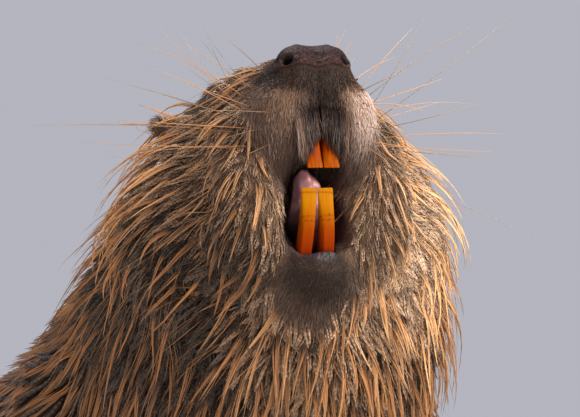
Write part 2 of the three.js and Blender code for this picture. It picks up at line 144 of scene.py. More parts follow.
def smooth_step(value, start, end):
    """0 before start and 1 after end, easing in between; start may be the larger one."""
    share = clipped((value - start) / (end - start))
    return share * share * (3 - 2 * share)


def unit(vectors):
    return vectors / np.maximum(np.linalg.norm(vectors, axis=-1, keepdims=True), 1e-12)


def dot(a, b):
    return np.sum(a * b, axis=-1)


def ripple(points, size, seed):
    """Smooth noise from -1 to 1 over points, as a sum of turned waves of about that size."""
    draw = np.random.default_rng(seed)
    total = np.zeros(len(points))
    waves = 9
    for _ in range(waves):
        direction = unit(draw.normal(size=3))
        length = size * draw.uniform(0.7, 1.6)
        total += np.sin(points @ direction * (math.tau / length) + draw.uniform(0, math.tau))
    return np.clip(total / math.sqrt(waves) / 1.4, -1, 1)


def reach_from(points, centre, radii):
    """How far points are from the centre of an ellipsoid, with its surface at 1."""
    away = (points - np.asarray(centre, float)) / np.asarray(radii, float)
    return np.sqrt(np.sum(away**2, axis=-1))


def blob(points, centre, radii):
    """1 at the centre of an ellipsoid, falling to 0 at its surface, for points in the same frame."""
    return smooth_step(reach_from(points, centre, radii), 1, 0)


def twin_blobs(local, centre, radii):
    """A blob on the left of the head and its mirror image on the right."""
    return blob(local, centre, radii) + blob(local, centre * MIRROR, radii)


def to_twins(local, centre):
    """How far the nearer of a place on the left of the head and its mirror image is."""
    left = np.linalg.norm(local - centre, axis=1)
    right = np.linalg.norm(local - centre * MIRROR, axis=1)
    return np.minimum(left, right)


def sight_of(side):
    """Where an eye looks: out to its side, a little forward and up."""
    return unit(np.array([14.0 * side, -5.0, 3.0]))


# ---------------------------------------------------------------- meshes


def array_of(collection, name, width=3, kind=np.float32):
    """One property of every item in a mesh collection as an array."""
    flat = np.zeros(len(collection) * width, kind)
    collection.foreach_get(name, flat)
    return flat.reshape(-1, width) if width > 1 else flat


def edges_of(mesh):
    return array_of(mesh.edges, "vertices", 2, np.int32)


def points_of(mesh):
    return array_of(mesh.vertices, "co").astype(float)


def normals_of(mesh):
    return array_of(mesh.vertex_normals, "vector").astype(float)


def set_points(mesh, points):
    mesh.vertices.foreach_set("co", points.astype(np.float32).ravel())
    mesh.update()


def store(mesh, name, values):
    """Keeps one number for each vertex in the mesh, for its material to read."""
    layer = mesh.attributes.new(name, "FLOAT", "POINT")
    layer.data.foreach_set("value", np.asarray(values, np.float32))


def add_object(data, name):
    made = bpy.data.objects.new(name, data)
    bpy.context.scene.collection.objects.link(made)
    return made


def merged_copy(nodes, swell=0.0):
    """A bmesh of CAD nodes with shared corners, each face grown outwards by swell."""
    made = bmesh.new()
    for node in nodes:
        made.from_mesh(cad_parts[node].data)
    bmesh.ops.remove_doubles(made, verts=made.verts, dist=1e-5)
    made.normal_update()
    if swell:
        for vertex in made.verts:
            vertex.co += vertex.normal * swell
    return made


def to_mesh(made, name):
    mesh = bpy.data.meshes.new(name)
    made.to_mesh(mesh)
    made.free()
    return mesh


def remeshed(piece, size):
    """Casts a piece anew as one surface on a grid."""
    remesh = piece.modifiers.new("one surface", "REMESH")
    remesh.mode = "VOXEL"
    remesh.voxel_size = size
    apply_modifiers(piece)


def subdivided(piece, levels):
    """Rounds a piece."""
    smoother = piece.modifiers.new("round", "SUBSURF")
    smoother.levels = smoother.render_levels = levels
    apply_modifiers(piece)


def apply_modifiers(piece):
    """Replaces a piece's mesh by the one that its modifiers give."""
    graph = bpy.context.evaluated_depsgraph_get()
    mesh = bpy.data.meshes.new_from_object(piece.evaluated_get(graph))
    old = piece.data
    piece.modifiers.clear()
    piece.data = mesh
    bpy.data.meshes.remove(old)


def finish_piece(piece, material, replaced=()):
    """Gives a piece its material, its body and the CAD nodes that it stands for."""
    piece.data.materials.clear()
    piece.data.materials.append(material)
    piece.data.polygons.foreach_set("use_smooth", np.ones(len(piece.data.polygons), bool))
    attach(piece, "root")
    if replaced:
        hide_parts(*replaced)


def neighbours_mean(points, edges, count):
    """The mean place of each vertex's neighbours."""
    total = np.empty_like(points)
    for axis in range(points.shape[1]):
        forth = np.bincount(edges[:, 0], points[edges[:, 1], axis], count)
        total[:, axis] = forth + np.bincount(edges[:, 1], points[edges[:, 0], axis], count)
    degree = np.bincount(edges.ravel(), minlength=count)
    return total / np.maximum(degree, 1)[:, None]


def relaxed(points, edges, weight, rounds, back=-0.52):
    """Smooths vertices towards their neighbours' mean, with steps back in between that keep the bulk."""
    count = len(points)
    for _ in range(rounds):
        for step in (0.5, back):
            towards = neighbours_mean(points, edges, count) - points
            points = points + towards * (weight * step)[:, None]
    return points


# ---------------------------------------------------------------- skin


def nearest_on(tree, points):
    """The nearest place, normal and face of a surface for each point."""
    places = np.empty_like(points)
    normals = np.empty_like(points)
    faces = np.empty(len(points), int)
    for row, point in enumerate(points.tolist()):
        place, normal, face, _ = tree.find_nearest(point)
        places[row] = place
        normals[row] = normal
        faces[row] = face
    return places, normals, faces


def solids_tree():
    """A search tree over the solids of flesh, with the region number of each of its triangles."""
    kinds = {start: number for number, starts in enumerate(REGIONS.values()) for start in starts}
    corners = []
    faces = []
    owners = []
    for node in FLESH:
        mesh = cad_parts[node].data
        first = len(corners)
        corners += points_of(mesh).tolist()
        faces += [[first + corner for corner in face.vertices] for face in mesh.polygons]
        start = max((s for s in kinds if node.startswith(s)), key=len)
        owners += [kinds[start]] * len(mesh.polygons)
    return BVHTree.FromPolygons(corners, faces), np.array(owners)


def region_shares(points, edges):
    """For each region, how far each vertex belongs to it, from 0 to 1, with soft borders."""
    tree, owners = solids_tree()
    owner = owners[nearest_on(tree, points)[2]]
    shares = {}
    for number, region in enumerate(REGIONS):
        share = (owner == number).astype(float)[:, None]
        for _ in range(6):
            share = (share + neighbours_mean(share, edges, len(points))) / 2
        shares[region] = share[:, 0]
    return shares


def cast_flesh(settings):
    """One closed surface round all the solids of flesh: fine on the head, coarser on the body."""
    closing = 0.4 * MM
    made = merged_copy(FLESH, closing)
    lid_radius = (EYE_RADIUS_MM + 2.4) * MM
    for side in SIDES:
        over_eye = Matrix.Translation(centre_of(f"eye_{side}"))
        bmesh.ops.create_icosphere(made, subdivisions=3, radius=lid_radius, matrix=over_eye)
    mesh = to_mesh(made, "skin")
    skin = add_object(mesh, "skin")
    remeshed(skin, settings.grain)
    keep_largest(skin.data)
    points = points_of(skin.data)
    local = in_head(points)
    near_head = 1 - smooth_step(local[:, 1], 92, 132)
    coarseness = np.round(1 - near_head, 1)
    group = skin.vertex_groups.new(name="body")
    for level in np.unique(coarseness):
        chosen = np.flatnonzero(coarseness == level)
        group.add(chosen.tolist(), float(level), "REPLACE")
    thin = skin.modifiers.new("coarser body", "DECIMATE")
    thin.ratio = settings.keep_share
    thin.vertex_group = "body"
    apply_modifiers(skin)
    skin.vertex_groups.clear()
    return skin


def keep_largest(mesh):
    """Deletes every loose part of a mesh but the largest."""
    made = bmesh.new()
    made.from_mesh(mesh)
    made.verts.ensure_lookup_table()
    unseen = set(made.verts)
    parts = []
    while unseen:
        part = set()
        front = [unseen.pop()]
        while front:
            vertex = front.pop()
            part.add(vertex)
            for edge in vertex.link_edges:
                other = edge.other_vert(vertex)
                if other in unseen:
                    unseen.discard(other)
                    front.append(other)
        parts.append(part)
    largest = max(parts, key=len)
    loose = [vertex for part in parts if part is not largest for vertex in part]
    bmesh.ops.delete(made, geom=loose, context="VERTS")
    made.to_mesh(mesh)
    made.free()


# ---------------------------------------------------------------- materials


class Signal:
    """A socket in a material. Arithmetic on signals adds Math nodes."""

    def __init__(self, finish, socket):
        self.finish = finish
        self.socket = socket

    def math(self, operation, *others):
        return self.finish.node("ShaderNodeMath", {"operation": operation}, 0, self, *others)

    def __add__(self, other):
        return self.math("ADD", other)

    def __sub__(self, other):
        return self.math("SUBTRACT", other)

    def __mul__(self, other):
        return self.math("MULTIPLY", other)

    def __rsub__(self, other):
        return self.finish.node("ShaderNodeMath", {"operation": "SUBTRACT"}, 0, other, self)

    __radd__ = __add__
    __rmul__ = __mul__

    def held(self):
        """The signal kept between 0 and 1."""
        return self.finish.node("ShaderNodeClamp", {}, 0, self)

    def ease(self, start, end):
        """0 before start and 1 after end, easing in between."""
        settings = {"interpolation_type": "SMOOTHSTEP"}
        return self.finish.node("ShaderNodeMapRange", settings, 0, self, start, end, 0.0, 1.0)

    def wave(self):
        """The sine of the signal, from 0 to 1."""
        return self.math("SINE") * 0.5 + 0.5


class Finish:
    """A material in the making. Colours are tuples of three numbers or signals."""

    def __init__(self, name, roughness=0.5, specular=0.5):
        self.material = bpy.data.materials.new(name)
        self.material.use_nodes = True
        self.tree = self.material.node_tree
        self.shader = self.tree.nodes["Principled BSDF"]
        self.shader.inputs["Roughness"].default_value = roughness
        self.shader.inputs["Specular IOR Level"].default_value = specular

    def node(self, kind, settings, output, *values, **named):
        """Adds a node: its settings first, then values for its inputs by order and by name."""
        made = self.tree.nodes.new(kind)
        for name, value in settings.items():
            setattr(made, name, value)
        inputs = dict(enumerate(values))
        inputs.update({name.replace("_", " "): value for name, value in named.items()})
        for key, value in inputs.items():
            self.feed(made.inputs[key], value)
        return Signal(self, made.outputs[output])

    def feed(self, socket, value):
        """Links a signal to a socket, or sets the socket to a plain value."""
        if isinstance(value, Signal):
            self.tree.links.new(value.socket, socket)
        elif socket.type == "RGBA":
            socket.default_value = (*value, 1)
        else:
            socket.default_value = value

    def places(self):
        return self.node("ShaderNodeTexCoord", {}, "Object")

    def stored(self, *names):
        """The numbers that the mesh keeps at each vertex under these names."""
        found = [self.node("ShaderNodeAttribute", {"attribute_name": name}, "Fac") for name in names]
        return found if len(found) > 1 else found[0]

    def mix(self, share, first, second, blend="MIX"):
        """The first colour at a share of 0 and the second at 1."""
        settings = {"data_type": "RGBA", "blend_type": blend, "clamp_result": False}
        mixed = self.node("ShaderNodeMix", settings, 2, share)
        sockets = mixed.socket.node.inputs
        self.feed(sockets[6], first)
        self.feed(sockets[7], second)
        return mixed

    def grain(self, size, detail=2.0, where=None):
        """Noise from 0 to 1 with features of about that size in metres."""
        where = where or self.places()
        return self.node("ShaderNodeTexNoise", {}, "Fac", Vector=where, Scale=1 / size, Detail=detail)

    def cells(self, size, feature="F1"):
        """The distance in a pattern of cells of about that size in metres."""
        inputs = {"Vector": self.places(), "Scale": 1 / size}
        return self.node("ShaderNodeTexVoronoi", {"feature": feature}, "Distance", **inputs)

    def raised(self, height, depth, strength=1.0):
        """Bumps the surface by a height signal, whose full step is depth metres."""
        inputs = {"Height": height, "Distance": depth, "Strength": strength}
        self.feed(self.shader.inputs["Normal"], self.node("ShaderNodeBump", {}, "Normal", **inputs))

    def set(self, **inputs):
        for name, value in inputs.items():
            self.feed(self.shader.inputs[name.replace("_", " ")], value)
        return self.material


# ---------------------------------------------------------------- modelling of the skin

# How far the skin lies inside the outline of the coat, for each region.
COAT_DEPTH_MM = {
    "nose": 0.0, "muzzle": 1.4, "jaw": 2.4, "crown": 5.0, "ear": 0.6, "neck": 9.0, "trunk": 12.0,
    "leg": 6.0, "foot": 0.3, "rump": 5.0, "tail": 0.2,
}


def refine(mesh, chosen):
    """Splits the chosen faces of a mesh in four."""
    made = bmesh.new()
    made.from_mesh(mesh)
    made.faces.ensure_lookup_table()
    edges = {edge for index in chosen for edge in made.faces[index].edges}
    bmesh.ops.subdivide_edges(made, edges=list(edges), cuts=1, use_grid_fill=True)
    made.to_mesh(mesh)
    made.free()


def face_centres(mesh):
    return array_of(mesh.polygons, "center").astype(float)


def nose_ridge(local):
    """How high above the nose tip the lower ridge of the nose pad runs, in millimetres."""
    return -1.5 + 0.9 * np.cos(np.clip(np.abs(local[:, 0]) - 8, -8, 8) * math.tau / 18)


def shape_nose(local, rise):
    """Inward and outward steps along the normal that draw the nose pad, in millimetres."""
    x = local[:, 0]
    pad = smooth_step(np.abs(x), 21, 16) * smooth_step(local[:, 1], 20, 12)
    ridge = nose_ridge(local)
    below = smooth_step(rise, ridge + 0.4, ridge - 1.2) * smooth_step(rise, ridge - 9, ridge - 3)
    above = smooth_step(rise, ridge - 0.4, ridge + 0.8) * smooth_step(rise, ridge + 4, ridge + 1.4)
    notch = smooth_step(np.abs(x + 0.6), 1.7, 0.2)
    notch = notch * smooth_step(rise, -4, -1) * smooth_step(rise, 6.5, 3)
    return pad * (0.55 * above - 1.5 * below - 0.9 * notch)


def shape_lips(local, rise):
    """The cleft from the nose down to the upper lip, in millimetres along the normal."""
    x, y, z = local.T
    front = smooth_step(y, 40, 26)
    width = 1.6 + 1.3 * smooth_step(rise, -12, -36)
    depth = 1.0 + 2.8 * smooth_step(rise, -12, -34)
    cleft = smooth_step(np.abs(x), width, 0.15)
    cleft = cleft * smooth_step(rise, -5.5, -10) * smooth_step(z, -49, -40)
    return -depth * cleft * front


def nostril_step(local):
    """How each vertex moves into the nostrils, in millimetres in the head's frame."""
    moved = np.zeros_like(local)
    for side in (1, -1):
        centre = NOSTRIL_MM * (side, 1, 1)
        inwards = unit(np.array([-0.55 * side, 0.8, -0.1]))
        hole = blob(local, centre, (4.3, 4.6, 3.3)) ** 0.8
        tail = blob(local, centre + (3.4 * side, 5.0, 3.0), (2.6, 5.4, 1.6))
        rim = blob(local, centre, (7.5, 7.0, 5.8)) * (1 - blob(local, centre, (4.8, 5.0, 3.8)))
        moved += inwards * (7.0 * hole + 1.6 * tail - 0.6 * rim)[:, None]
    return moved


def lip_step(local):
    """How each vertex moves to bring the lower lip up to its teeth, in millimetres in the head's frame."""
    brim = blob(local, (3, 42, -88), (20, 10, 10))
    lean = 5.5 + 0.55 * np.clip(local[:, 0], -9, 10)
    return np.column_stack([np.zeros(len(local)), -1.2 * brim, lean * brim])


def shape_lids(local):
    """Draws the skin up to each eye as lids with a rim, and takes it behind the eye where they part."""
    shaped = local.copy()
    for side in (1, -1):
        centre = EYE_MM * (side, 1, 1)
        look = sight_of(side)
        corner = unit(np.cross(look, (0, 0.15, 1)))
        corner = corner * -np.sign(corner[1])
        rising = np.cross(look, corner)
        rising = rising * np.sign(rising[2])
        spoke = local - centre
        reach = np.linalg.norm(spoke, axis=1)
        heading = spoke / np.maximum(reach, 1e-6)[:, None]
        across = np.degrees(np.arctan2(heading @ corner, heading @ look))
        up = np.degrees(np.arcsin(np.clip(heading @ rising, -1, 1)))
        level = up - 3 + across * 0.10
        opening = np.sqrt((across / 50) ** 2 + (level / np.where(level > 0, 27, 24)) ** 2)
        rim = EYE_RADIUS_MM + 0.2 + 1.3 * smooth_step(opening, 1.0, 1.5)
        target = np.where(opening < 1, EYE_RADIUS_MM - 1.6, rim)
        facing = smooth_step(heading @ look, -0.2, 0.2)
        near = smooth_step(reach, 13.0, 9.5) * facing
        crease = 0.9 * smooth_step(np.abs(opening - 1.9), 0.35, 0.0) * smooth_step(level, 5, 20)
        wanted = centre + heading * (target - crease)[:, None]
        share = near * smooth_step(opening, 2.7, 1.5)
        shaped = shaped + (wanted - local) * share[:, None]
    return shaped


def lie_of_coat(points, normals, shares):
    """The direction in which the coat lies at each point, along the skin."""
    local = in_head(points)
    down = np.array([0.0, 0.0, -1.0])
    back = HEAD_AXES[:, 1]
    # Over the crown and cheeks it runs back from the nose and out to the sides; wet, it also hangs.
    out = np.abs(local[:, 0])
    side = np.sign(local[:, 0]) * smooth_step(out, 8, 42) * smooth_step(local[:, 1], 12, 50)
    side = side * (0.75 - 0.25 * smooth_step(out, 50, 80))
    flow = back + 0.62 * down + side[:, None] * HEAD_AXES[:, 0]
    # Off the front of the muzzle it falls to the lips.
    hanging = smooth_step(local[:, 1], 46, 20) * smooth_step(local[:, 2], 6, -8)
    flow += hanging[:, None] * (1.6 * down - 0.9 * back)
    body = shares["neck"] * smooth_step(local[:, 1], 110, 150) + shares["trunk"] + shares["rump"]
    body = clipped(body)[:, None]
    behind = smooth_step(local[:, 1], 190, 330)[:, None]
    on_back = np.array([0.0, 1.0, -0.55]) * behind + np.array([0.0, 0.75, -0.95]) * (1 - behind)
    flow = flow * (1 - body) + body * on_back
    legs = clipped(shares["leg"])[:, None]
    flow = flow * (1 - legs) + legs * np.array([0.0, 0.35, -1.0])
    feet = clipped(shares["foot"])[:, None]
    flow = flow * (1 - feet) + feet * np.array([0.0, -0.8, -0.5])
    # It sways a little from place to place.
    sway = 0.22 * ripple(points, 34 * MM, 5) + 0.10 * ripple(points, 13 * MM, 6)
    flow = unit(flow)
    flow = flow + np.cross(normals, flow) * sway[:, None]
    flow = flow - normals * dot(flow, normals)[:, None]
    return unit(flow)


def velvet_share(local):
    """Where the lower lip and the chin carry dark velvet."""
    lip = blob(local, (0, 56, -70), (26, 38, 34))
    chin = 0.85 * blob(local, (0, 48, -93), (30, 34, 25))
    return clipped(2.0 * np.maximum(lip, chin))


def soaked_share(local):
    """Where the coat is soaked dark, low on the right side of the neck."""
    rise = local @ HEAD_AXES[2]
    return smooth_step(rise, -62, -100) * smooth_step(local[:, 0], -10, -50)


def markings(points):
    """Where the coat is ginger, pale and dark, each from 0 to 1. Skin and tufts read the same ones. Pale
    also holds painted light on the head's left, which faces the light, and dark holds painted shade on its
    right.
    """
    local = in_head(points)
    x, y, z = local.T
    rise = local @ HEAD_AXES[2]
    on_body = smooth_step(y, 105, 190)
    # The whisker pads are pale fur. The one on the head's left, which faces the light, is made much paler
    # than the right one as painted light.
    pads = 2.2 * blob(local, (20, 22, -18), (19, 28, 32))
    pads = clipped(pads + 0.9 * blob(local, (-19, 22, -20), (20, 28, 30)))
    stripe = smooth_step(np.abs(x - 2.5), 10, 4) * smooth_step(y, 48, 34) * smooth_step(z, -62, -50)
    under_nose = smooth_step(rise, -17, -10) * smooth_step(np.abs(x), 28, 21) * smooth_step(y, 30, 20)
    inner_lip = smooth_step(np.abs(x - 1), 17, 8) * smooth_step(z, -12, -24) * smooth_step(y, 44, 30)
    stripe = clipped(stripe + under_nose + 0.85 * inner_lip)
    bridge = smooth_step(np.abs(x), 22, 10) * smooth_step(z, -2, 10) * smooth_step(y, 90, 10)
    beside_mouth = blob(local, (0, 60, -66), (66, 60, 50))
    # Painted light: the cheek on the head's left only, which faces the light, is made pale and less dark,
    # and the fur beside the mouth gets paler towards that side.
    cheek = blob(local, (60, 88, -52), (62, 80, 90))
    beside_mouth = beside_mouth * (0.65 + 0.35 * smooth_step(x, -30, 20))
    velvet = velvet_share(local)
    pale = 0.95 * pads + 0.8 * beside_mouth + 1.15 * cheek
    pale = pale * (1 - stripe) * (1 - velvet)
    rough = 0.18 * ripple(points, 26 * MM, 11)
    ginger = 0.45 + 0.45 * smooth_step(y, 40, 90) - 0.35 * on_body + rough
    dark = 0.25 + 0.65 * on_body + 0.95 * stripe + 0.4 * bridge - 0.4 * pads - rough
    # Painted shade: the right side of the face, away from the light, is made a little darker.
    shaded_side = smooth_step(x, -15, -60) * smooth_step(y, 50, 90)
    dark = dark + 0.75 * soaked_share(local) + 0.08 * shaded_side - 0.45 * cheek + velvet
    marks = {"ginger": ginger, "pale": pale, "dark": dark}
    return {name: clipped(values) for name, values in marks.items()}


# What a set of roots says of each root's place, beside how far it belongs to each region.
PLACES = ("points", "normals", "unwrap")


class Hide:
    """The finished skin with what the tufts need of it: places, normals, regions and its own unwrap."""

    def __init__(self, skin):
        mesh = skin.data
        self.points = points_of(mesh)
        self.normals = normals_of(mesh)
        mesh.calc_loop_triangles()
        self.corners = array_of(mesh.loop_triangles, "vertices", 3, np.int32)
        self.loops = array_of(mesh.loop_triangles, "loops", 3, np.int32)
        self.unwrap = array_of(mesh.uv_layers["OFBake"].data, "uv", 2).astype(float)
        a, b, c = (self.points[self.corners[:, k]] for k in range(3))
        self.areas = np.linalg.norm(np.cross(b - a, c - a), axis=1) / 2
        self.centres = (a + b + c) / 3
        self.tree = BVHTree.FromPolygons(self.points.tolist(), self.corners.tolist())
        layers = {name: mesh.attributes[name].data for name in (*REGIONS, "bare")}
        self.shares = {name: array_of(layer, "value", 1).astype(float) for name, layer in layers.items()}

    def mean(self, values, triangles, weights):
        """A vertex property at places inside triangles."""
        picked = values[self.corners[triangles]]
        if picked.ndim == 3:
            return np.einsum("ijk,ij->ik", picked, weights)
        return dot(picked, weights)

    def sow(self, density, seed):
        """Roots scattered at density, in roots for each square metre of every triangle."""
        draw = np.random.default_rng(seed)
        expected = self.areas * density
        counts = np.floor(expected + draw.random(len(expected))).astype(int)
        triangles = np.repeat(np.arange(len(counts)), counts)
        first = np.sqrt(draw.random(len(triangles)))
        second = draw.random(len(triangles))
        weights = np.column_stack([1 - first, first * (1 - second), first * second])
        shares = {name: self.mean(values, triangles, weights) for name, values in self.shares.items()}
        return {
            "points": self.mean(self.points, triangles, weights),
            "normals": unit(self.mean(self.normals, triangles, weights)),
            "unwrap": np.einsum("ijk,ij->ik", self.unwrap[self.loops[triangles]], weights),
            "shares": shares,
        }


def picked(roots, chosen):
    """The chosen ones of a set of roots."""
    kept = {name: roots[name][chosen] for name in PLACES}
    kept["shares"] = {name: values[chosen] for name, values in roots["shares"].items()}
    return kept


def joined(first, second):
    """Two sets of roots as one."""
    def merged(one, other):
        return {name: np.concatenate([one[name], other[name]]) for name in one if name != "shares"}

    return {**merged(first, second), "shares": merged(first["shares"], second["shares"])}


def trained(roots, length, lift, hug, stations, turn, rising=1.3):
    """Curves for locks to follow, from each root along the lie of the coat, lifting off towards the tip.

    hug is how closely they keep to the skin: at 0 they run straight on where it bends away.
    """
    skin = hide()
    count = len(roots["points"])
    kept = np.broadcast_to(hug, (count,))[:, None]
    path = np.zeros((count, stations, 3))
    normals = np.zeros((count, stations, 3))
    path[:, 0] = roots["points"]
    normals[:, 0] = roots["normals"]
    step = (length / (stations - 1))[:, None]
    heading = lie_of_coat(roots["points"], roots["normals"], roots["shares"])
    heading = unit(heading + np.cross(roots["normals"], heading) * turn[:, None])
    for k in range(1, stations):
        reached = path[:, k - 1] + heading * step
        place, normal, _ = nearest_on(skin.tree, reached)
        path[:, k] = reached + (place - reached) * kept
        normals[:, k] = unit(normals[:, k - 1] * (1 - kept) + normal * kept + 1e-9)
        wanted = lie_of_coat(place, normal, roots["shares"])
        along = unit(path[:, k] - path[:, k - 1])
        heading = unit(along * (1 - 0.4 * kept) + wanted * 0.4 * kept)
    share = np.linspace(0, 1, stations)
    rise = lift[:, None] * share**rising
    return path + normals * rise[:, :, None], normals


# ---------------------------------------------------------------- tufts


RING = 3  # corners round a hair
PATCH = 0.003  # a hair's share of the unwrap
LOWEST = 1.2 * MM  # the least height of a hair's middle over the floor


def between(values, share):
    """Values given at equal steps along each curve, read at a share of its length for each station."""
    last = values.shape[1] - 1
    place = np.clip(share * last, 0, last - 1e-6)
    low = place.astype(int)
    part = (place - low)[..., None]
    rows = np.arange(len(values))[:, None]
    return values[rows, low] * (1 - part) + values[rows, low + 1] * part


def hairs_along(path, normals, draw, strands=1, spread=0.0, gather=0.0, radius=0.2 * MM, shortest=1.0,
                rings=3, flat=0.75, crimp=None, bunch_power=1.0, root_sink=0.6 * MM, fray=0.0, alike=0.0):
    """Splits each curve into strands that start spread apart and gather to its tip.

    Returns their centre lines, ring axes and radii, their curve's number and how far along each ring is.
    """
    count = len(path)
    tangents = unit(np.gradient(path, axis=1))
    across = unit(np.cross(normals, tangents))
    which = np.repeat(np.arange(count), strands)
    total = len(which)
    side = draw.uniform(-1, 1, total)
    behind = draw.uniform(0, 1, total)
    reach = draw.uniform(shortest, 1, total)
    stations = np.linspace(0, 1, rings)
    uneven = draw.uniform(-0.28, 0.28, (count, rings)) * (crimp is not None) / (rings - 1)
    uneven[:, [0, -1]] = 0
    share = (stations[None, :] + uneven[which]) * reach[:, None]
    centre = between(path[which], share)
    up = unit(between(normals[which], share))
    beside = unit(between(across[which], share))
    along = unit(between(tangents[which], share))
    apart = 1 - gather * share**bunch_power
    spread = np.broadcast_to(spread, (count,))[which]
    offset = (side * spread)[:, None] * apart
    if fray:
        offset = offset + draw.normal(size=total)[:, None] * fray * share**2
    setback = (behind * spread)[:, None] * (1 - share) ** 1.5
    height = draw.uniform(0, 0.8, total)[:, None] * spread[:, None] * 0.35 * apart
    centre = centre + beside * offset[..., None] - along * setback[..., None] + up * height[..., None]
    centre = centre - up * (root_sink * (1 - smooth_step(share, 0, 0.25)))[..., None]
    crest = np.broadcast_to(np.where(np.arange(rings) % 2, 1.0, -1.0), (total, rings)).copy()
    if crimp:
        swing = crimp * draw.uniform(0.5, 1.3, count)[which][:, None] * crest * smooth_step(share, 0, 0.15)
        sideways = swing * draw.uniform(-0.7, 0.7, count)[which][:, None]
        centre = centre + up * swing[..., None] + beside * sideways[..., None]
    centre[..., 2] = np.maximum(centre[..., 2], LOWEST)
    thick = np.broadcast_to(radius, (count,))[which] * draw.uniform(0.75, 1.2, total)
    taper = np.interp(stations, [0, 0.3, 0.7, 1], [0.75, 1.0, 0.72, 0.12])
    tone = draw.random(total) * (1 - alike) + draw.random(count)[which] * alike
    return {
        "centre": centre, "up": up, "beside": beside, "radii": thick[:, None] * taper, "flat": flat,
        "curve": which, "along": share, "tone": tone, "crest": crest,
    }


def hair_mesh(name, hairs, roots, marks):
    """Joins strands into one mesh of closed three-sided hairs with pointed tips."""
    centre = hairs["centre"]
    count, rings, _ = centre.shape
    body = rings - 1
    angles = np.arange(RING) * math.tau / RING + math.pi / 2
    radii = hairs["radii"][:, :body, None, None]
    up = hairs["up"][:, :body, None, :] * np.sin(angles)[None, None, :, None] * hairs["flat"]
    beside = hairs["beside"][:, :body, None, :] * np.cos(angles)[None, None, :, None]
    around = centre[:, :body, None, :] + (up + beside) * radii
    points = np.concatenate([around.reshape(count, body * RING, 3), centre[:, -1:, :]], axis=1)
    each = body * RING + 1
    quads = []
    for ring in range(body - 1):
        for corner in range(RING):
            after = (corner + 1) % RING
            low, high = ring * RING, (ring + 1) * RING
            quads.append((low + corner, low + after, high + after, high + corner))
    first = (body - 1) * RING
    ends = [(first + corner, first + (corner + 1) % RING, each - 1) for corner in range(RING)]
    ends.append((2, 1, 0))
    pattern = np.concatenate([np.array(quads).ravel(), np.array(ends).ravel()])
    sizes = np.array([4] * len(quads) + [3] * len(ends))
    starts = np.concatenate([[0], np.cumsum(sizes)[:-1]])
    offsets = np.arange(count)[:, None]
    corners = (offsets * each + pattern[None, :]).ravel()
    loop_starts = (offsets * len(pattern) + starts[None, :]).ravel()
    mesh = bpy.data.meshes.new(name)
    mesh.vertices.add(count * each)
    mesh.loops.add(len(corners))
    mesh.polygons.add(len(loop_starts))
    mesh.vertices.foreach_set("co", points.astype(np.float32).ravel())
    mesh.loops.foreach_set("vertex_index", corners.astype(np.int32))
    mesh.polygons.foreach_set("loop_start", loop_starts.astype(np.int32))
    mesh.update(calc_edges=True)
    along = np.repeat(hairs["along"][:, :body], RING, axis=1)
    along = np.concatenate([along, hairs["along"][:, -1:]], axis=1).ravel()
    curve = np.repeat(hairs["curve"], each)
    store(mesh, "along", along)
    # crest is +1 and -1 on alternate rings; the underfur finish paints highlight and shade by it.
    crest = np.repeat(hairs["crest"][:, :body], RING, axis=1)
    store(mesh, "crest", np.concatenate([crest, hairs["crest"][:, -1:]], axis=1).ravel())
    store(mesh, "tone", np.repeat(hairs["tone"], each))
    for mark, values in marks.items():
        store(mesh, mark, values[curve])
    place = roots["unwrap"][curve]
    turn = np.tile(np.concatenate([np.tile(np.arange(RING), body), [1]]), count) / RING
    store(mesh, "turn", turn)
    shift = np.column_stack([turn - 0.33, along - 0.5]) * PATCH
    layer = mesh.uv_layers.new(name="OFBake")
    layer.data.foreach_set("uv", (place + shift)[corners].astype(np.float32).ravel())
    return mesh


def coat_piece(name, hairs, roots, marks, material):
    piece = add_object(hair_mesh(name, hairs, roots, marks), name)
    finish_piece(piece, material)


# ---------------------------------------------------------------- finishes


def coat_colours(finish, settings):
    """The colour of the underfur from the markings, darker where they say so."""
    ginger, pale, dark = finish.stored("ginger", "pale", "dark")
    base = finish.mix(dark, settings.underfur, settings.deep)
    base = finish.mix(pale * 0.85, base, settings.pale)
    return finish.mix(ginger * (1 - dark) * 0.25, base, settings.ginger)


def shaded(finish, colour, shade):
    """A colour made darker or lighter by a signal."""
    grey = finish.node("ShaderNodeCombineColor", {}, 0, shade, shade, shade)
    return finish.mix(1.0, colour, grey, "MULTIPLY")


def guard_finish(settings):
    """Wet guard hair: brown at the root, ginger and then golden to the tip, with a gloss along it. The
    golden tips are partly the hair's own colour and partly a painted glow of light shining through them.
    """
    finish = Finish("guard_hair")
    along, tone, ginger, pale, dark = finish.stored("along", "tone", "ginger", "pale", "dark")
    patches = finish.grain(0.028)
    rust = finish.mix((ginger * 0.9 + patches * 0.7 - 0.3).held(), settings.deep, settings.ginger)
    # The gold is partly painted light: it stands in for the glow of light through the tips.
    gold = finish.mix((pale * 0.6 + tone * 0.5 + 0.1).held(), settings.ginger, settings.gold)
    body = finish.mix((along * 1.3 - dark * 1.15 + tone * 0.45).held(), rust, gold)
    root = finish.mix(pale * 0.6, settings.deep, settings.underfur)
    colour = finish.mix(along.ease(0.0, 0.28), root, body)
    finish.set(Roughness=0.30 + finish.grain(0.004) * 0.25)
    return finish.set(Base_Color=shaded(finish, colour, 0.7 + tone * 0.6))


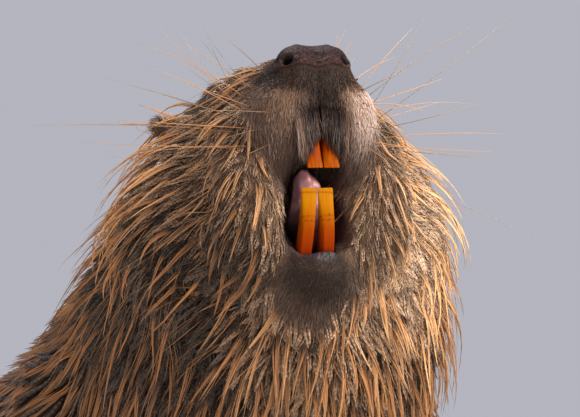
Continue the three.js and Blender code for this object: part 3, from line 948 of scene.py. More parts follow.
def underfur_finish(settings):
    """Wet underfur, crimped: a painted highlight on the crests and painted shade in the hollows cross each
    lock.
    """
    finish = Finish("underfur", roughness=0.48, specular=0.4)
    along, tone, turn, crest, pale, dark = finish.stored("along", "tone", "turn", "crest", "pale", "dark")
    colour = coat_colours(finish, settings)
    streams = finish.node("ShaderNodeCombineXYZ", {}, 0, turn * 7, along * 3.5, tone * 60)
    strands = finish.grain(1.0, where=streams)
    # Painted highlight and shade: the crimp waves lighten the crests towards the crest colours and leave
    # the hollows dark, as light on the waves would; the tips and the strand streaks also lighten the fur as
    # its own colour.
    crimp = (along * 46 + finish.grain(0.005) * 10 + tone * 3).wave()
    high = (crimp * 0.45 + along * 0.45 + strands - 0.42).held() * (1 - dark * 0.88)
    lighter = finish.mix((pale * 0.9).held(), settings.crest, settings.cream)
    colour = finish.mix(high.held(), colour, lighter)
    colour = finish.mix(along.ease(0.35, 0.0) * (0.65 - pale * 0.3), colour, settings.deep)
    finish.raised(strands * 0.5 + crimp, 0.0006, 0.8)
    # crest adds painted highlight on the crests of the rings and painted shade in the hollows.
    return finish.set(Base_Color=shaded(finish, colour, 0.55 + tone * 0.75 + crest * 0.12 + pale * 0.1))


def muzzle_fur_finish(settings):
    """Short fur of the muzzle, silver at some of its tips."""
    finish = Finish("muzzle_fur", roughness=0.5, specular=0.35)
    along, tone, pale, dark = finish.stored("along", "tone", "pale", "dark")
    base = finish.mix((dark - pale * 0.7).held(), settings.muzzle, settings.stripe)
    base = finish.mix(pale.ease(0.45, 1.0), base, settings.pad)
    silver = (tone.ease(0.5, 0.9) * along.ease(0.2, 0.8) * (0.15 + 0.6 * pale)).held()
    colour = finish.mix(silver, base, settings.silver)
    rust = (tone.ease(0.25, 0.0) * 0.4 * along).held()
    colour = finish.mix(rust, colour, settings.ginger)
    return finish.set(Base_Color=shaded(finish, colour, 0.70 + tone * 0.35 + along * 0.15))


def whisker_finish(settings):
    """Stiff whiskers, some tan and some dark, paler to the tip."""
    finish = Finish("whisker", roughness=0.35)
    tone, along = finish.stored("tone", "along")
    colour = finish.mix(tone.ease(0.55, 0.75), settings.ginger, settings.deep)
    return finish.set(Base_Color=finish.mix(along * 0.6, colour, settings.gold))


def upper_enamel(settings):
    """Deep orange enamel, streaked along the tooth and redder at its root."""
    finish, _, height, streaks = enamel("upper_enamel")
    fresh = finish.mix(streaks.ease(0.45, 0.8) * 0.8, settings.orange, settings.amber)
    colour = finish.mix(height.ease(-0.052, -0.034) * 0.75, fresh, settings.rust)
    return finish.set(Base_Color=colour)


def lower_enamel(settings):
    """Yellow-orange enamel at the edge, red-orange at the gum, with two rows of dark specks."""
    finish, across, height, streaks = enamel("lower_enamel")
    colour = finish.mix(height.ease(-0.060, -0.076), settings.amber, settings.orange)
    colour = finish.mix(height.ease(-0.071, -0.084) * 0.85, colour, settings.rust)
    colour = finish.mix(streaks.ease(0.4, 0.8) * 0.35, colour, settings.orange)
    specks = 1 - finish.cells(0.0013).ease(0.22, 0.42)
    line = height - across * 0.05 + 0.0684
    row = 1 - line.math("ABSOLUTE").ease(0.0003, 0.0008)
    second = 1 - (line + 0.0019).math("ABSOLUTE").ease(0.0003, 0.0008)
    rows = (row + second * 0.8).held()
    colour = finish.mix(rows * 0.25, colour, settings.rust)
    colour = finish.mix(specks * rows * 0.85, colour, settings.speck)
    worn = 1 - (height + 0.0577).math("ABSOLUTE").ease(0.0002, 0.0007)
    return finish.set(Base_Color=finish.mix(worn * 0.35, colour, settings.speck))


def enamel(name):
    """What both kinds of enamel share, with the places on the teeth and the streaks down them."""
    finish = Finish(name, specular=0.03)
    across, height = across_and_up(finish)
    drawn_out = finish.node("ShaderNodeCombineXYZ", {}, 0, across * 1.6, 0.0, height * 0.16)
    streaks = finish.grain(0.0016, where=drawn_out)
    finish.raised(streaks, 0.0002, 0.4)
    finish.set(Roughness=0.32 + streaks * 0.2)
    return finish, across, height, streaks


def across_and_up(finish):
    """Across and up in the head's frame, in metres from the nose tip."""
    places = finish.places()
    away = finish.node("ShaderNodeVectorMath", {"operation": "SUBTRACT"}, 0, places, tuple(NOSE_TIP))
    settings = {"operation": "DOT_PRODUCT"}
    axes = [tuple(HEAD_AXES[:, axis]) for axis in (0, 2)]
    return [finish.node("ShaderNodeVectorMath", settings, "Value", away, axis) for axis in axes]


def tongue_finish(settings):
    """Moist pink flesh with a fine nap, darker towards its foot."""
    finish = Finish("tongue", specular=0.3)
    blotches = finish.grain(0.005, 3.0)
    nap = finish.grain(0.0007, 1.0)
    colour = finish.mix(blotches.ease(0.35, 0.7), settings.tongue, settings.tongue_pale)
    _, height = across_and_up(finish)
    colour = finish.mix(height.ease(-0.050, -0.066), colour, settings.tongue_low)
    finish.raised(nap, 0.0003, 0.5)
    return finish.set(Base_Color=colour, Coat_Weight=0.15, Roughness=0.28 + nap * 0.2)


def eye_finish(settings):
    """Almost black, with a brown iris that shows at its rim."""
    finish = Finish("eye", roughness=0.06)
    facing = finish.stored("facing")
    ring = finish.mix(facing.ease(0.86, 0.80), settings.pupil, settings.iris)
    colour = finish.mix(facing.ease(0.70, 0.62), ring, settings.white)
    return finish.set(Base_Color=colour, Coat_Weight=1.0)


def claw_finish(settings):
    """Dark horn, streaked along and paler at its worn tip."""
    finish = Finish("claw")
    streaks = finish.grain(0.0012, 3.0)
    patches = finish.grain(0.010)
    colour = finish.mix(streaks.ease(0.35, 0.7), settings.horn, settings.horn_pale)
    colour = finish.mix(patches.ease(0.5, 0.8) * 0.5, colour, settings.horn_pale)
    finish.raised(streaks, 0.0003, 0.5)
    return finish.set(Base_Color=colour, Roughness=0.3 + streaks * 0.25)


def skin_finish(settings, coat):
    """Skin: wet hide under the fur, darkened there as painted shade between the hairs, pebbled nose with a
    painted highlight on its lower ridge and painted shade in its nostrils, scaly feet and tail, and the wet
    lining of the mouth.
    """
    finish = Finish("skin", specular=0.16)
    nose, mouth, foot, tail, bare = finish.stored("nose", "mouth", "foot", "tail", "bare")
    lid, lip, pink, hole, pale = finish.stored("lid", "lip", "pink", "hole", "pale")
    hide = coat_colours(finish, coat)
    across, height = across_and_up(finish)
    drawn_out = finish.node("ShaderNodeCombineXYZ", {}, 0, across, 0.0, height * 0.2)
    strands = finish.grain(0.0009, 3.0, where=drawn_out)
    # Painted shade: the skin under the coat is darkened towards the deep colour, least where the coat is
    # pale, so that the gaps between the hairs read as shadow.
    depth = (strands.ease(0.35, 0.7) * 0.35 + 0.5 - 0.5 * pale).held()
    hide = finish.mix(depth, hide, coat.deep)
    pebbles = finish.cells(0.0011)
    streaks = finish.grain(0.0016, 3.0)
    nose_colour = finish.mix(streaks.ease(0.35, 0.75), settings.nose, settings.nose_light)
    scales = finish.cells(0.0052, "DISTANCE_TO_EDGE")
    rough = finish.grain(0.012, 3.0)
    tail_colour = finish.mix(scales.ease(0.0, 0.16), settings.tail_groove, settings.tail)
    tail_colour = finish.mix(rough.ease(0.4, 0.75) * 0.5, tail_colour, settings.tail_light)
    plates = finish.cells(0.0021, "DISTANCE_TO_EDGE")
    foot_colour = finish.mix(plates.ease(0.0, 0.2) * 0.5, settings.tail_groove, settings.foot)
    wetness = finish.grain(0.009)
    mouth_colour = finish.mix(wetness.ease(0.35, 0.7), settings.gum, settings.mouth)
    colour = finish.mix(nose, hide, nose_colour)
    colour = finish.mix(foot, colour, foot_colour)
    colour = finish.mix(tail, colour, tail_colour)
    colour = finish.mix(lid, colour, settings.lid)
    colour = finish.mix(lip, colour, settings.lip)
    colour = finish.mix(mouth, colour, mouth_colour)
    colour = finish.mix(pink, colour, settings.pink)
    # Painted highlight: a paler line along the lower ridge of the nose, where its edge catches the light.
    colour = finish.mix(finish.stored("ridge_highlight") * 0.6, colour, settings.ridge)
    # Painted shade: the nostrils are painted near black for the shade deep inside them.
    colour = finish.mix(hole, colour, settings.nostril)
    relief = nose * pebbles * 0.5 + foot * plates.ease(0.0, 0.3) * 0.35
    relief = relief + tail * scales.ease(0.0, 0.25) * 1.2 + strands * (1 - bare) * 0.8
    relief = relief + mouth * finish.grain(0.003) * 0.4 + lip * finish.grain(0.0014) * 1.2
    finish.raised(relief, 0.0009, 0.7)
    dull = 0.62 + hole * 0.38
    return finish.set(Base_Color=colour, Roughness=dull - mouth * 0.40 - nose * 0.08 - (lid + lip) * 0.3)


# ---------------------------------------------------------------- what a user would change


def described(kind, name, description, default, low, high, **more):
    return kind(name=name, description=description, default=default, min=low, max=high, **more)


def length(name, description, default, low=0.0, high=0.2):
    return described(FloatProperty, name, description, default, low, high, unit="LENGTH", precision=5)


def factor(name, description, default, low, high):
    return described(FloatProperty, name, description, default, low, high, subtype="FACTOR")


def colour(name, description, default):
    return described(FloatVectorProperty, name, description, default, 0, 1, size=3, subtype="COLOR")


class SkinSettings(bpy.types.PropertyGroup):
    grain: length("Grain", "Size of the grid that the skin is cast on", 0.0017)
    keep_share: factor("Kept share", "Share of the faces kept when the body is made coarser", 0.2, 0.05, 1)
    nose: colour("Nose", "Nose pad, in its hollows", (0.011, 0.005, 0.005))
    nose_light: colour("Nose light", "Nose pad, on its grain", (0.045, 0.018, 0.017))
    # Painted shade: this near black fills the nostrils in place of the shade inside them.
    nostril: colour("Nostril", "Inside the nostrils", (0.003, 0.002, 0.002))
    tail: colour("Tail", "Scales of the tail", (0.060, 0.052, 0.047))
    tail_light: colour("Tail light", "Worn scales of the tail", (0.115, 0.100, 0.088))
    tail_groove: colour("Grooves", "Between scales", (0.016, 0.013, 0.012))
    foot: colour("Feet", "Skin of feet and webs", (0.062, 0.048, 0.040))
    mouth: colour("Mouth", "Lining of the mouth", (0.085, 0.030, 0.036))
    gum: colour("Gum", "Lips and gums", (0.055, 0.028, 0.034))
    pink: colour("Pink", "Gum at the teeth and the corner of the eye", (0.27, 0.095, 0.095))
    lid: colour("Lids", "Rims of the eyelids", (0.014, 0.009, 0.009))
    lip: colour("Lip", "Wet rim of the lower lip", (0.030, 0.020, 0.025))
    # Painted highlight: the paler colour along the lower ridge of the nose, where its edge catches the
    # light.
    ridge: colour("Ridge", "Painted highlight along the lower ridge of the nose", (0.14, 0.060, 0.045))


class CoatSettings(bpy.types.PropertyGroup):
    seed: IntProperty(name="Seed", description="Start of the random numbers of the coat", default=7)
    density: factor("Density", "How many tufts grow, 1 for the full coat", 1.0, 0.05, 1.5)
    guard_length: length("Guard hair", "Length of the long wet hair on the neck", 0.060)
    underfur_length: length("Underfur", "Length of the crimped underfur on the neck", 0.017)
    ginger: colour("Ginger", "Guard hair", (0.47, 0.19, 0.055))
    # Gold is partly a painted glow of light through the tips of the guard hair and partly their own colour.
    gold: colour("Gold", "Tips of the guard hair", (0.84, 0.51, 0.25))
    # deep also paints the shade on the skin between the hairs.
    deep: colour("Deep", "Roots and the dark of the coat", (0.028, 0.015, 0.010))
    underfur: colour("Underfur colour", "Underfur", (0.22, 0.118, 0.066))
    # Crest and cream are partly painted highlights on the crests of the crimp, on dark and on pale coat,
    # and partly the paler tips and streaks of the fur.
    crest: colour("Crest", "Crests of the crimped underfur", (0.66, 0.43, 0.27))
    cream: colour("Cream", "Crests where the coat is pale", (0.82, 0.60, 0.42))
    pale: colour("Pale", "Cheeks beside the mouth", (0.42, 0.275, 0.175))
    muzzle: colour("Muzzle", "Short fur of the muzzle", (0.20, 0.122, 0.088))
    pad: colour("Pad", "Palest short fur, on the whisker pads", (0.80, 0.61, 0.53))
    stripe: colour("Stripe", "Short fur between nose and lips", (0.024, 0.012, 0.010))
    silver: colour("Silver", "Tips of the short fur", (0.80, 0.62, 0.52))


class MouthSettings(bpy.types.PropertyGroup):
    orange: colour("Orange", "Enamel", (0.27, 0.042, 0.0))
    amber: colour("Amber", "Worn enamel towards the cutting edge", (0.40, 0.145, 0.0))
    rust: colour("Rust", "Enamel at the gum", (0.20, 0.012, 0.0))
    speck: colour("Specks", "Stains across the enamel", (0.06, 0.012, 0.004))
    tongue: colour("Tongue", "Flesh of the tongue", (0.33, 0.12, 0.13))
    tongue_low: colour("Tongue low", "Shaded foot of the tongue", (0.048, 0.014, 0.020))
    tongue_pale: colour("Tongue light", "Pale patches of the tongue", (0.52, 0.28, 0.28))


class EyeSettings(bpy.types.PropertyGroup):
    pupil: colour("Pupil", "Middle of the eye", (0.004, 0.005, 0.010))
    iris: colour("Iris", "Ring round the pupil", (0.018, 0.014, 0.016))
    white: colour("White", "Outside the iris, mostly hidden", (0.05, 0.035, 0.035))


class ClawSettings(bpy.types.PropertyGroup):
    horn: colour("Horn", "Dark horn", (0.030, 0.022, 0.018))
    horn_pale: colour("Worn horn", "Worn horn", (0.10, 0.080, 0.062))


class StageSettings(bpy.types.PropertyGroup):
    floor: colour("Floor", "Plain floor", (0.62, 0.62, 0.62))
    sky: colour("Surround", "Light from all round", (0.455, 0.46, 0.515))
    distance: length("Camera distance", "From the camera to the teeth", 3.0, 0.5, 10.0)


def settings_of(kind):
    return getattr(bpy.context.scene, "beaver_" + kind)


# ---------------------------------------------------------------- operators


class BuildStep(bpy.types.Operator):
    """Base of the building steps"""

    bl_options = {"REGISTER", "UNDO"}

    def execute(self, context):
        self.build(context)
        return {"FINISHED"}


def skin_object():
    skin = bpy.data.objects.get("skin")
    if skin is None:
        raise RuntimeError("the skin is made first")
    return skin


HIDE = {}


def hide():
    """The finished skin, read once for all the coat."""
    if "hide" not in HIDE:
        HIDE["hide"] = Hide(skin_object())
    return HIDE["hide"]


class MakeSkin(BuildStep):
    """One skin over all the solids of flesh, drawn in by the depth of the coat and modelled"""

    bl_idname = "beaver.skin"
    bl_label = "Skin"

    def build(self, context):
        settings = settings_of("skin")
        skin = cast_flesh(settings)
        mesh = skin.data
        self.smooth(mesh)
        self.draw_in(mesh)
        self.model(mesh)
        self.mark(mesh)
        self.unwrap(skin)
        finish_piece(skin, skin_finish(settings, settings_of("coat")), FLESH)

    def smooth(self, mesh):
        points = points_of(mesh)
        edges = edges_of(mesh)
        local = in_head(points)
        body = smooth_step(local[:, 1], 80, 130)
        firm = self.firm(points, local)
        points = relaxed(points, edges, 1 - 0.75 * firm, 14)
        points = relaxed(points, edges, body * (1 - firm), 30)
        set_points(mesh, points)

    @staticmethod
    def firm(points, local):
        """Where small shapes are kept: the mouth and the feet."""
        mouth = blob(local, (0, 44, -58), (30, 40, 44))
        low = smooth_step(points[:, 2], 40 * MM, 22 * MM)
        feet = low * smooth_step(points[:, 1], 120 * MM, 80 * MM)
        return clipped(np.maximum(mouth * 1.6, feet))

    def draw_in(self, mesh):
        points = points_of(mesh)
        edges = edges_of(mesh)
        shares = region_shares(points, edges)
        local = in_head(points)
        depth = sum(shares[region] * COAT_DEPTH_MM[region] for region in REGIONS)
        socket = twin_blobs(local, EYE_MM, (36, 36, 36))
        gape = blob(local, (0, 46, -58), (30, 40, 42))
        depth = depth * (1 - clipped(2.2 * socket)) * (1 - np.clip(2.0 * gape, 0, 0.9))
        for _ in range(8):
            depth = (depth + neighbours_mean(depth[:, None], edges, len(depth))[:, 0]) / 2
        normals = normals_of(mesh)
        for _ in range(4):
            normals = unit(normals + neighbours_mean(normals, edges, len(normals)))
        points = points - normals * (depth * MM)[:, None]
        points = relaxed(points, edges, smooth_step(depth, 3, 8), 8)
        set_points(mesh, points)

    def model(self, mesh):
        centres = in_head(face_centres(mesh))
        near_eye = np.linalg.norm(np.abs(centres) - EYE_MM, axis=1) < 15
        front = (centres[:, 1] < 30) & (centres[:, 2] > -50)
        refine(mesh, np.flatnonzero(near_eye | front))
        points = points_of(mesh)
        edges = edges_of(mesh)
        local = in_head(points)
        detail = smooth_step(local[:, 1], 40, 30)
        points = relaxed(points, edges, detail * smooth_step(local[:, 2], -48, -38), 4)
        set_points(mesh, points)
        local = in_head(points)
        rise = (points[:, 2] - NOSE_TIP[2]) / MM
        step = shape_nose(local, rise) + shape_lips(local, rise)
        points = points + normals_of(mesh) * (step * MM)[:, None]
        local = in_head(points)
        # hole marks the nostrils, where the painted shade goes.
        hole = twin_blobs(local, NOSTRIL_MM, (4.6, 5.2, 3.6))
        store(mesh, "hole", smooth_step(hole, 0.12, 0.42))
        local = local + nostril_step(local) + lip_step(local)
        local = shape_lids(local)
        set_points(mesh, from_head(local))

    def mark(self, mesh):
        points = points_of(mesh)
        edges = edges_of(mesh)
        shares = region_shares(points, edges)
        local = in_head(points)
        throat = 0.9 * blob(local, (4, 72, -50), (22, 38, 22))
        mouth = smooth_step(np.maximum(blob(local, (0, 52, -58), (24, 44, 30)), throat), 0.12, 0.3)
        lid = smooth_step(to_twins(local, EYE_MM), EYE_RADIUS_MM + 1.7, EYE_RADIUS_MM + 0.8)
        gum = np.maximum(blob(local, (0.5, 50, -78), (4, 9, 8)), blob(local, (-11, 44, -84), (6, 8, 4)))
        pink = smooth_step(to_twins(local, EYE_CORNER_MM), 2.6, 1.4) + 0.8 * smooth_step(gum, 0.1, 0.5)
        lip = smooth_step(blob(local, (1, 42, -85), (21, 12, 10)), 0.1, 0.5)
        rise = (points[:, 2] - NOSE_TIP[2]) / MM
        ridge = nose_ridge(local)
        # The thin band along the lower ridge of the nose that takes its painted highlight.
        ridge_highlight = smooth_step(np.abs(rise - ridge), 0.7, 0.15) * smooth_step(local[:, 1], 14, 8)
        over_ridge = smooth_step(rise, ridge - 2.2, ridge - 0.6)
        shares["nose"] = shares["nose"] * np.where(local[:, 1] < 12, over_ridge, 1)
        bare = shares["nose"] + shares["foot"] + shares["tail"] + mouth + lid + 0.8 * lip
        marks = {"mouth": mouth, "bare": bare, "lid": lid, "pink": pink, "lip": lip, "ridge_highlight": ridge_highlight}
        marks = {name: clipped(values) for name, values in marks.items()}
        for name, values in {**shares, **markings(points), **marks}.items():
            store(mesh, name, values)

    def unwrap(self, skin):
        """Lays the skin out flat by its own shape, for the coat to take its place on."""
        mesh = skin.data
        mesh.uv_layers.new(name="OFBake")
        bpy.context.view_layer.objects.active = skin
        skin.select_set(True)
        bpy.ops.object.mode_set(mode="EDIT")
        bpy.ops.mesh.select_all(action="SELECT")
        bpy.ops.uv.smart_project(angle_limit=math.radians(66), island_margin=0.002)
        bpy.ops.object.mode_set(mode="OBJECT")
        skin.select_set(False)


class MakeStage(BuildStep):
    """Floor, soft light and camera"""

    bl_idname = "beaver.stage"
    bl_label = "Stage"

    # For each lamp: its place from the nose tip and its size in metres, its power in watts and its tint.
    LAMPS = {
        "key": ((1.85, -1.65, 1.3), 0.6, 128, (1.0, 0.94, 0.86)),
        "above": ((-0.3, 0.9, 2.0), 0.8, 36, (1.0, 0.93, 0.82)),
        "fill": ((-2.2, -1.2, 0.8), 1.4, 15, (1.0, 0.93, 0.86)),
    }
    FLOOR_RADIUS = 4.2
    AZIMUTH = math.radians(-10)
    SENSOR_MM = 36
    VIEW_WIDTH = 0.290

    def build(self, context):
        settings = settings_of("stage")
        self.floor(settings)
        self.light(settings)
        self.camera(settings)

    def floor(self, settings):
        made = bmesh.new()
        bmesh.ops.create_circle(made, cap_ends=True, radius=self.FLOOR_RADIUS, segments=96)
        disc = add_object(to_mesh(made, "floor"), "floor")
        finish = Finish("floor", roughness=0.9, specular=0.2)
        darker = [0.94 * part for part in settings.floor]
        shade = finish.mix(finish.grain(0.3, 3.0), settings.floor, darker)
        disc.data.materials.append(finish.set(Base_Color=shade))

    def light(self, settings):
        scene = bpy.context.scene
        world = bpy.data.worlds.new("surround")
        scene.world = world
        world.use_nodes = True
        background = world.node_tree.nodes["Background"]
        background.inputs["Color"].default_value = (*settings.sky, 1)
        background.inputs["Strength"].default_value = 1.0
        scene.view_settings.view_transform = "Standard"
        for name, (place, size, power, tint) in self.LAMPS.items():
            lamp = bpy.data.lights.new(name, "AREA")
            lamp.energy = power
            lamp.size = size
            lamp.color = tint
            self.aim(add_object(lamp, name), Vector(NOSE_TIP) + Vector(place), -Vector(place))

    @staticmethod
    def aim(made, place, sight):
        """Puts a lamp or camera at a place, looking along a line of sight."""
        made.location = place
        made.rotation_euler = sight.to_track_quat("-Z", "Y").to_euler()

    def camera(self, settings):
        """Looks level at the teeth from ten degrees to the animal's right of dead ahead."""
        sight = Vector((math.sin(-self.AZIMUTH), math.cos(self.AZIMUTH), 0))
        right = Vector((sight.y, -sight.x, 0))
        tips = Vector(from_head((0, 18.5, -52)))
        tips.z = min(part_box(f"upper_incisor_{side}")[0].z for side in SIDES)
        middle = tips - right * 17 * MM - Vector((0, 0, 20.25 * MM))
        camera = bpy.data.cameras.new("camera")
        camera.sensor_width = self.SENSOR_MM
        camera.lens = self.SENSOR_MM * settings.distance / self.VIEW_WIDTH
        camera.clip_end = 60
        made = add_object(camera, "camera")
        self.aim(made, middle - sight * settings.distance, sight)
        bpy.context.scene.camera = made


# ---------------------------------------------------------------- coat


def at_triangles(values):
    """A skin property at the middle of each triangle."""
    return values[hide().corners].mean(axis=1)


# Large primes that turn a cube's three numbers into one of its own.
CELL_PRIMES = np.array([73856093, 19349663, 83492791])


def spaced(roots, spacing, seed):
    """Thins roots out to about one in each cube of that size."""
    draw = np.random.default_rng(seed)
    order = draw.permutation(len(roots["points"]))
    cells = np.floor(roots["points"][order] / spacing).astype(np.int64)
    keys = cells @ CELL_PRIMES
    _, first = np.unique(keys, return_index=True)
    return picked(roots, np.sort(order[first]))


def short_share(local):
    """Where the fur is short: over the muzzle, round the mouth and round the eyes."""
    muzzle = reach_from(local, (0, 16, -20), (30, 36, 42))
    mouth = reach_from(local, (0, 52, -66), (19, 32, 27))
    chin = reach_from(local, (0, 50, -92), (24, 30, 19))
    eye = to_twins(local, EYE_MM) / 13
    return smooth_step(np.minimum.reduce([muzzle, mouth, chin, eye]), 1.22, 0.98)


def long_share(local, shares):
    """Where the long coat of head and neck grows."""
    near = smooth_step(local[:, 1], 225, 185) * (1 - shares["leg"])
    return (1 - short_share(local)) * near * (1 - clipped(2 * shares["ear"]))


def fur_share(shares):
    """How furry each place is: bare skin, the mouth, the eyes and the soles have none."""
    return smooth_step(shares["bare"], 0.75, 0.45)


def roots_by(density_of, seed):
    """Roots sown by a density that depends on the place in the head's frame and on the region."""
    skin = hide()
    shares = {name: at_triangles(values) for name, values in skin.shares.items()}
    density = density_of(in_head(skin.centres), shares) * fur_share(shares)
    return skin.sow(np.maximum(density * settings_of("coat").density, 0), seed)


def halves(roots, hairs):
    """Splits strands into those on the left and on the right of the animal."""
    left = roots["points"][hairs["curve"], 0] > NOSE_TIP[0] * 0.5
    for side, chosen in zip(SIDES, (left, ~left)):
        part = {name: values[chosen] for name, values in hairs.items() if name != "flat"}
        yield "_" + side, {**part, "flat": hairs["flat"]}


def grow(name, roots, curves, draw, material, slot="coat", halved=True, darker=0.0, **shape):
    """Makes coat pieces of strands along the curves from some roots, one for each side if halved."""
    hairs = hairs_along(*curves, draw, **shape)
    marks = markings(roots["points"])
    marks["dark"] = clipped(marks["dark"] + darker * (1 - marks["pale"]))
    for ending, part in halves(roots, hairs) if halved else [("", hairs)]:
        coat_piece(name + ending, part, roots, marks, material)


def depth_at(roots):
    """The depth of the coat at the roots, in metres."""
    return sum(roots["shares"][region] * COAT_DEPTH_MM[region] for region in REGIONS) * MM


class GrowMuzzleFur(BuildStep):
    """Short flat fur of the muzzle, lips and lids, and the fringe that hangs over the upper teeth"""

    bl_idname = "beaver.muzzle_fur"
    bl_label = "Muzzle fur"

    # Hairs for each square metre of skin, and the hairs of the fringe.
    ON_FACE = 1.35e6
    ON_EARS = 0.9e6
    ON_FEET = 2.2e5
    IN_FRINGE = 760

    def density(self, local, shares):
        near = smooth_step(local[:, 1], 100, 80) * (1 - clipped(shares["neck"]))
        velvet = velvet_share(local)
        on_face = self.ON_FACE * short_share(local) * near * (1 + 0.6 * velvet)
        return on_face + self.ON_EARS * shares["ear"]

    def build(self, context):
        settings = settings_of("coat")
        draw = np.random.default_rng(settings.seed + 1)
        roots = roots_by(self.density, settings.seed + 11)
        local = in_head(roots["points"])
        _, y, z = local.T
        rise = local @ HEAD_AXES[2]
        lips = smooth_step(z, -20, -42) * smooth_step(y, 50, 30)
        velvet = velvet_share(local)
        size = 4.8 + 3.4 * smooth_step(y, 6, 30) + 4.0 * lips + 2.0 * smooth_step(y, 50, 80)
        size = size * (0.45 + 0.55 * smooth_step(-rise, 2, 14)) * (1 - 0.7 * velvet)
        brink = blob(local, (0, 52, -60), (32, 50, 40)) * smooth_step(z, -44, -54)
        size = np.maximum(size * (1 - 0.8 * smooth_step(brink, 0.0, 0.12)), 1.5)
        size = size * draw.uniform(0.75, 1.3, len(size)) * MM
        lift = size * draw.uniform(0.10, 0.34, len(size))
        curves = trained(roots, size, lift, 0.7, 3, draw.normal(size=len(size)) * 0.16)
        material = muzzle_fur_finish(settings)
        grow(
            "muzzle_fur", roots, curves, draw, material, "face_fur",
            spread=0.2 * MM, gather=0.4, radius=0.18 * MM, shortest=0.8, root_sink=0.3 * MM,
        )
        self.fringe(material, draw)
        self.feet(settings, material, draw)

    def feet(self, settings, material, draw):
        """Sparse short hair on the backs of the feet."""
        skin = hide()
        above = smooth_step(skin.centres[:, 2], 7 * MM, 15 * MM)
        foot = at_triangles(skin.shares["foot"])
        roots = skin.sow(self.ON_FEET * foot * above * settings.density, settings.seed + 18)
        count = len(roots["points"])
        size = draw.uniform(3.5, 6.5, count) * MM
        curves = trained(roots, size, size * 0.2, 0.6, 3, draw.normal(size=count) * 0.2)
        grow(
            "foot_fur", roots, curves, draw, material, halved=False,
            spread=0.2 * MM, gather=0.4, radius=0.4 * MM, shortest=0.8, root_sink=0.3 * MM,
        )

    def fringe(self, material, draw):
        """Hair that parts under the nose and hangs in front of the upper teeth."""
        count = self.IN_FRINGE
        side = np.where(np.arange(count) % 2, 1.0, -1.0)
        across = 13.0 * draw.uniform(0.0, 1.0, count) ** 0.85
        layer = draw.uniform(0, 1, count)
        depth = 12.0 - 3.0 * layer + 0.05 * across
        height = -31.0 + 12.0 * layer - 0.3 * across
        start = np.column_stack([side * (0.5 + across * 1.05), depth, height])
        depth = 15.2 + 0.26 * across - 1.4 * layer
        height = np.maximum(-38.0 - 1.5 * across, -51.0)
        height = height + 3.0 * layer * draw.uniform(0, 1, count) + draw.normal(size=count) * 0.9
        end = np.column_stack([side * across * 0.9, depth, height])
        end = end + draw.normal(size=(count, 3)) * (0.7, 0.3, 0.3)
        lock = (np.argsort(np.argsort(end[:, 0])) // 9).astype(int)
        held = np.bincount(lock)[:, None]
        gathered = np.column_stack([np.bincount(lock, end[:, axis]) for axis in range(3)]) / held
        lower = draw.uniform(-1.6, 1.2, len(held))
        end = end * 0.4 + 0.6 * gathered[lock]
        end[:, 2] += lower[lock]
        skin = hide()
        base, _, face = nearest_on(skin.tree, from_head(start))
        tip = from_head(end)
        share = np.linspace(0, 1, 5)[None, :, None]
        forward = -HEAD_AXES[:, 1]
        bow = np.sin(share * math.pi) * (0.9 + 1.3 * layer)[:, None, None] * MM * forward
        wander = draw.normal(size=(count, 1, 3)) * 0.5 * MM * np.sin(share * math.tau)
        path = base[:, None, :] * (1 - share) + tip[:, None, :] * share + bow + wander
        roots = {"points": base, "unwrap": skin.unwrap[skin.loops[face]].mean(axis=1)}
        grow(
            "lip_fringe", roots, (path, np.broadcast_to(forward, path.shape)), draw, material, "face_fur",
            halved=False, spread=0.1 * MM, gather=0.3, radius=0.24 * MM, shortest=0.75, rings=5,
            root_sink=0.0,
        )


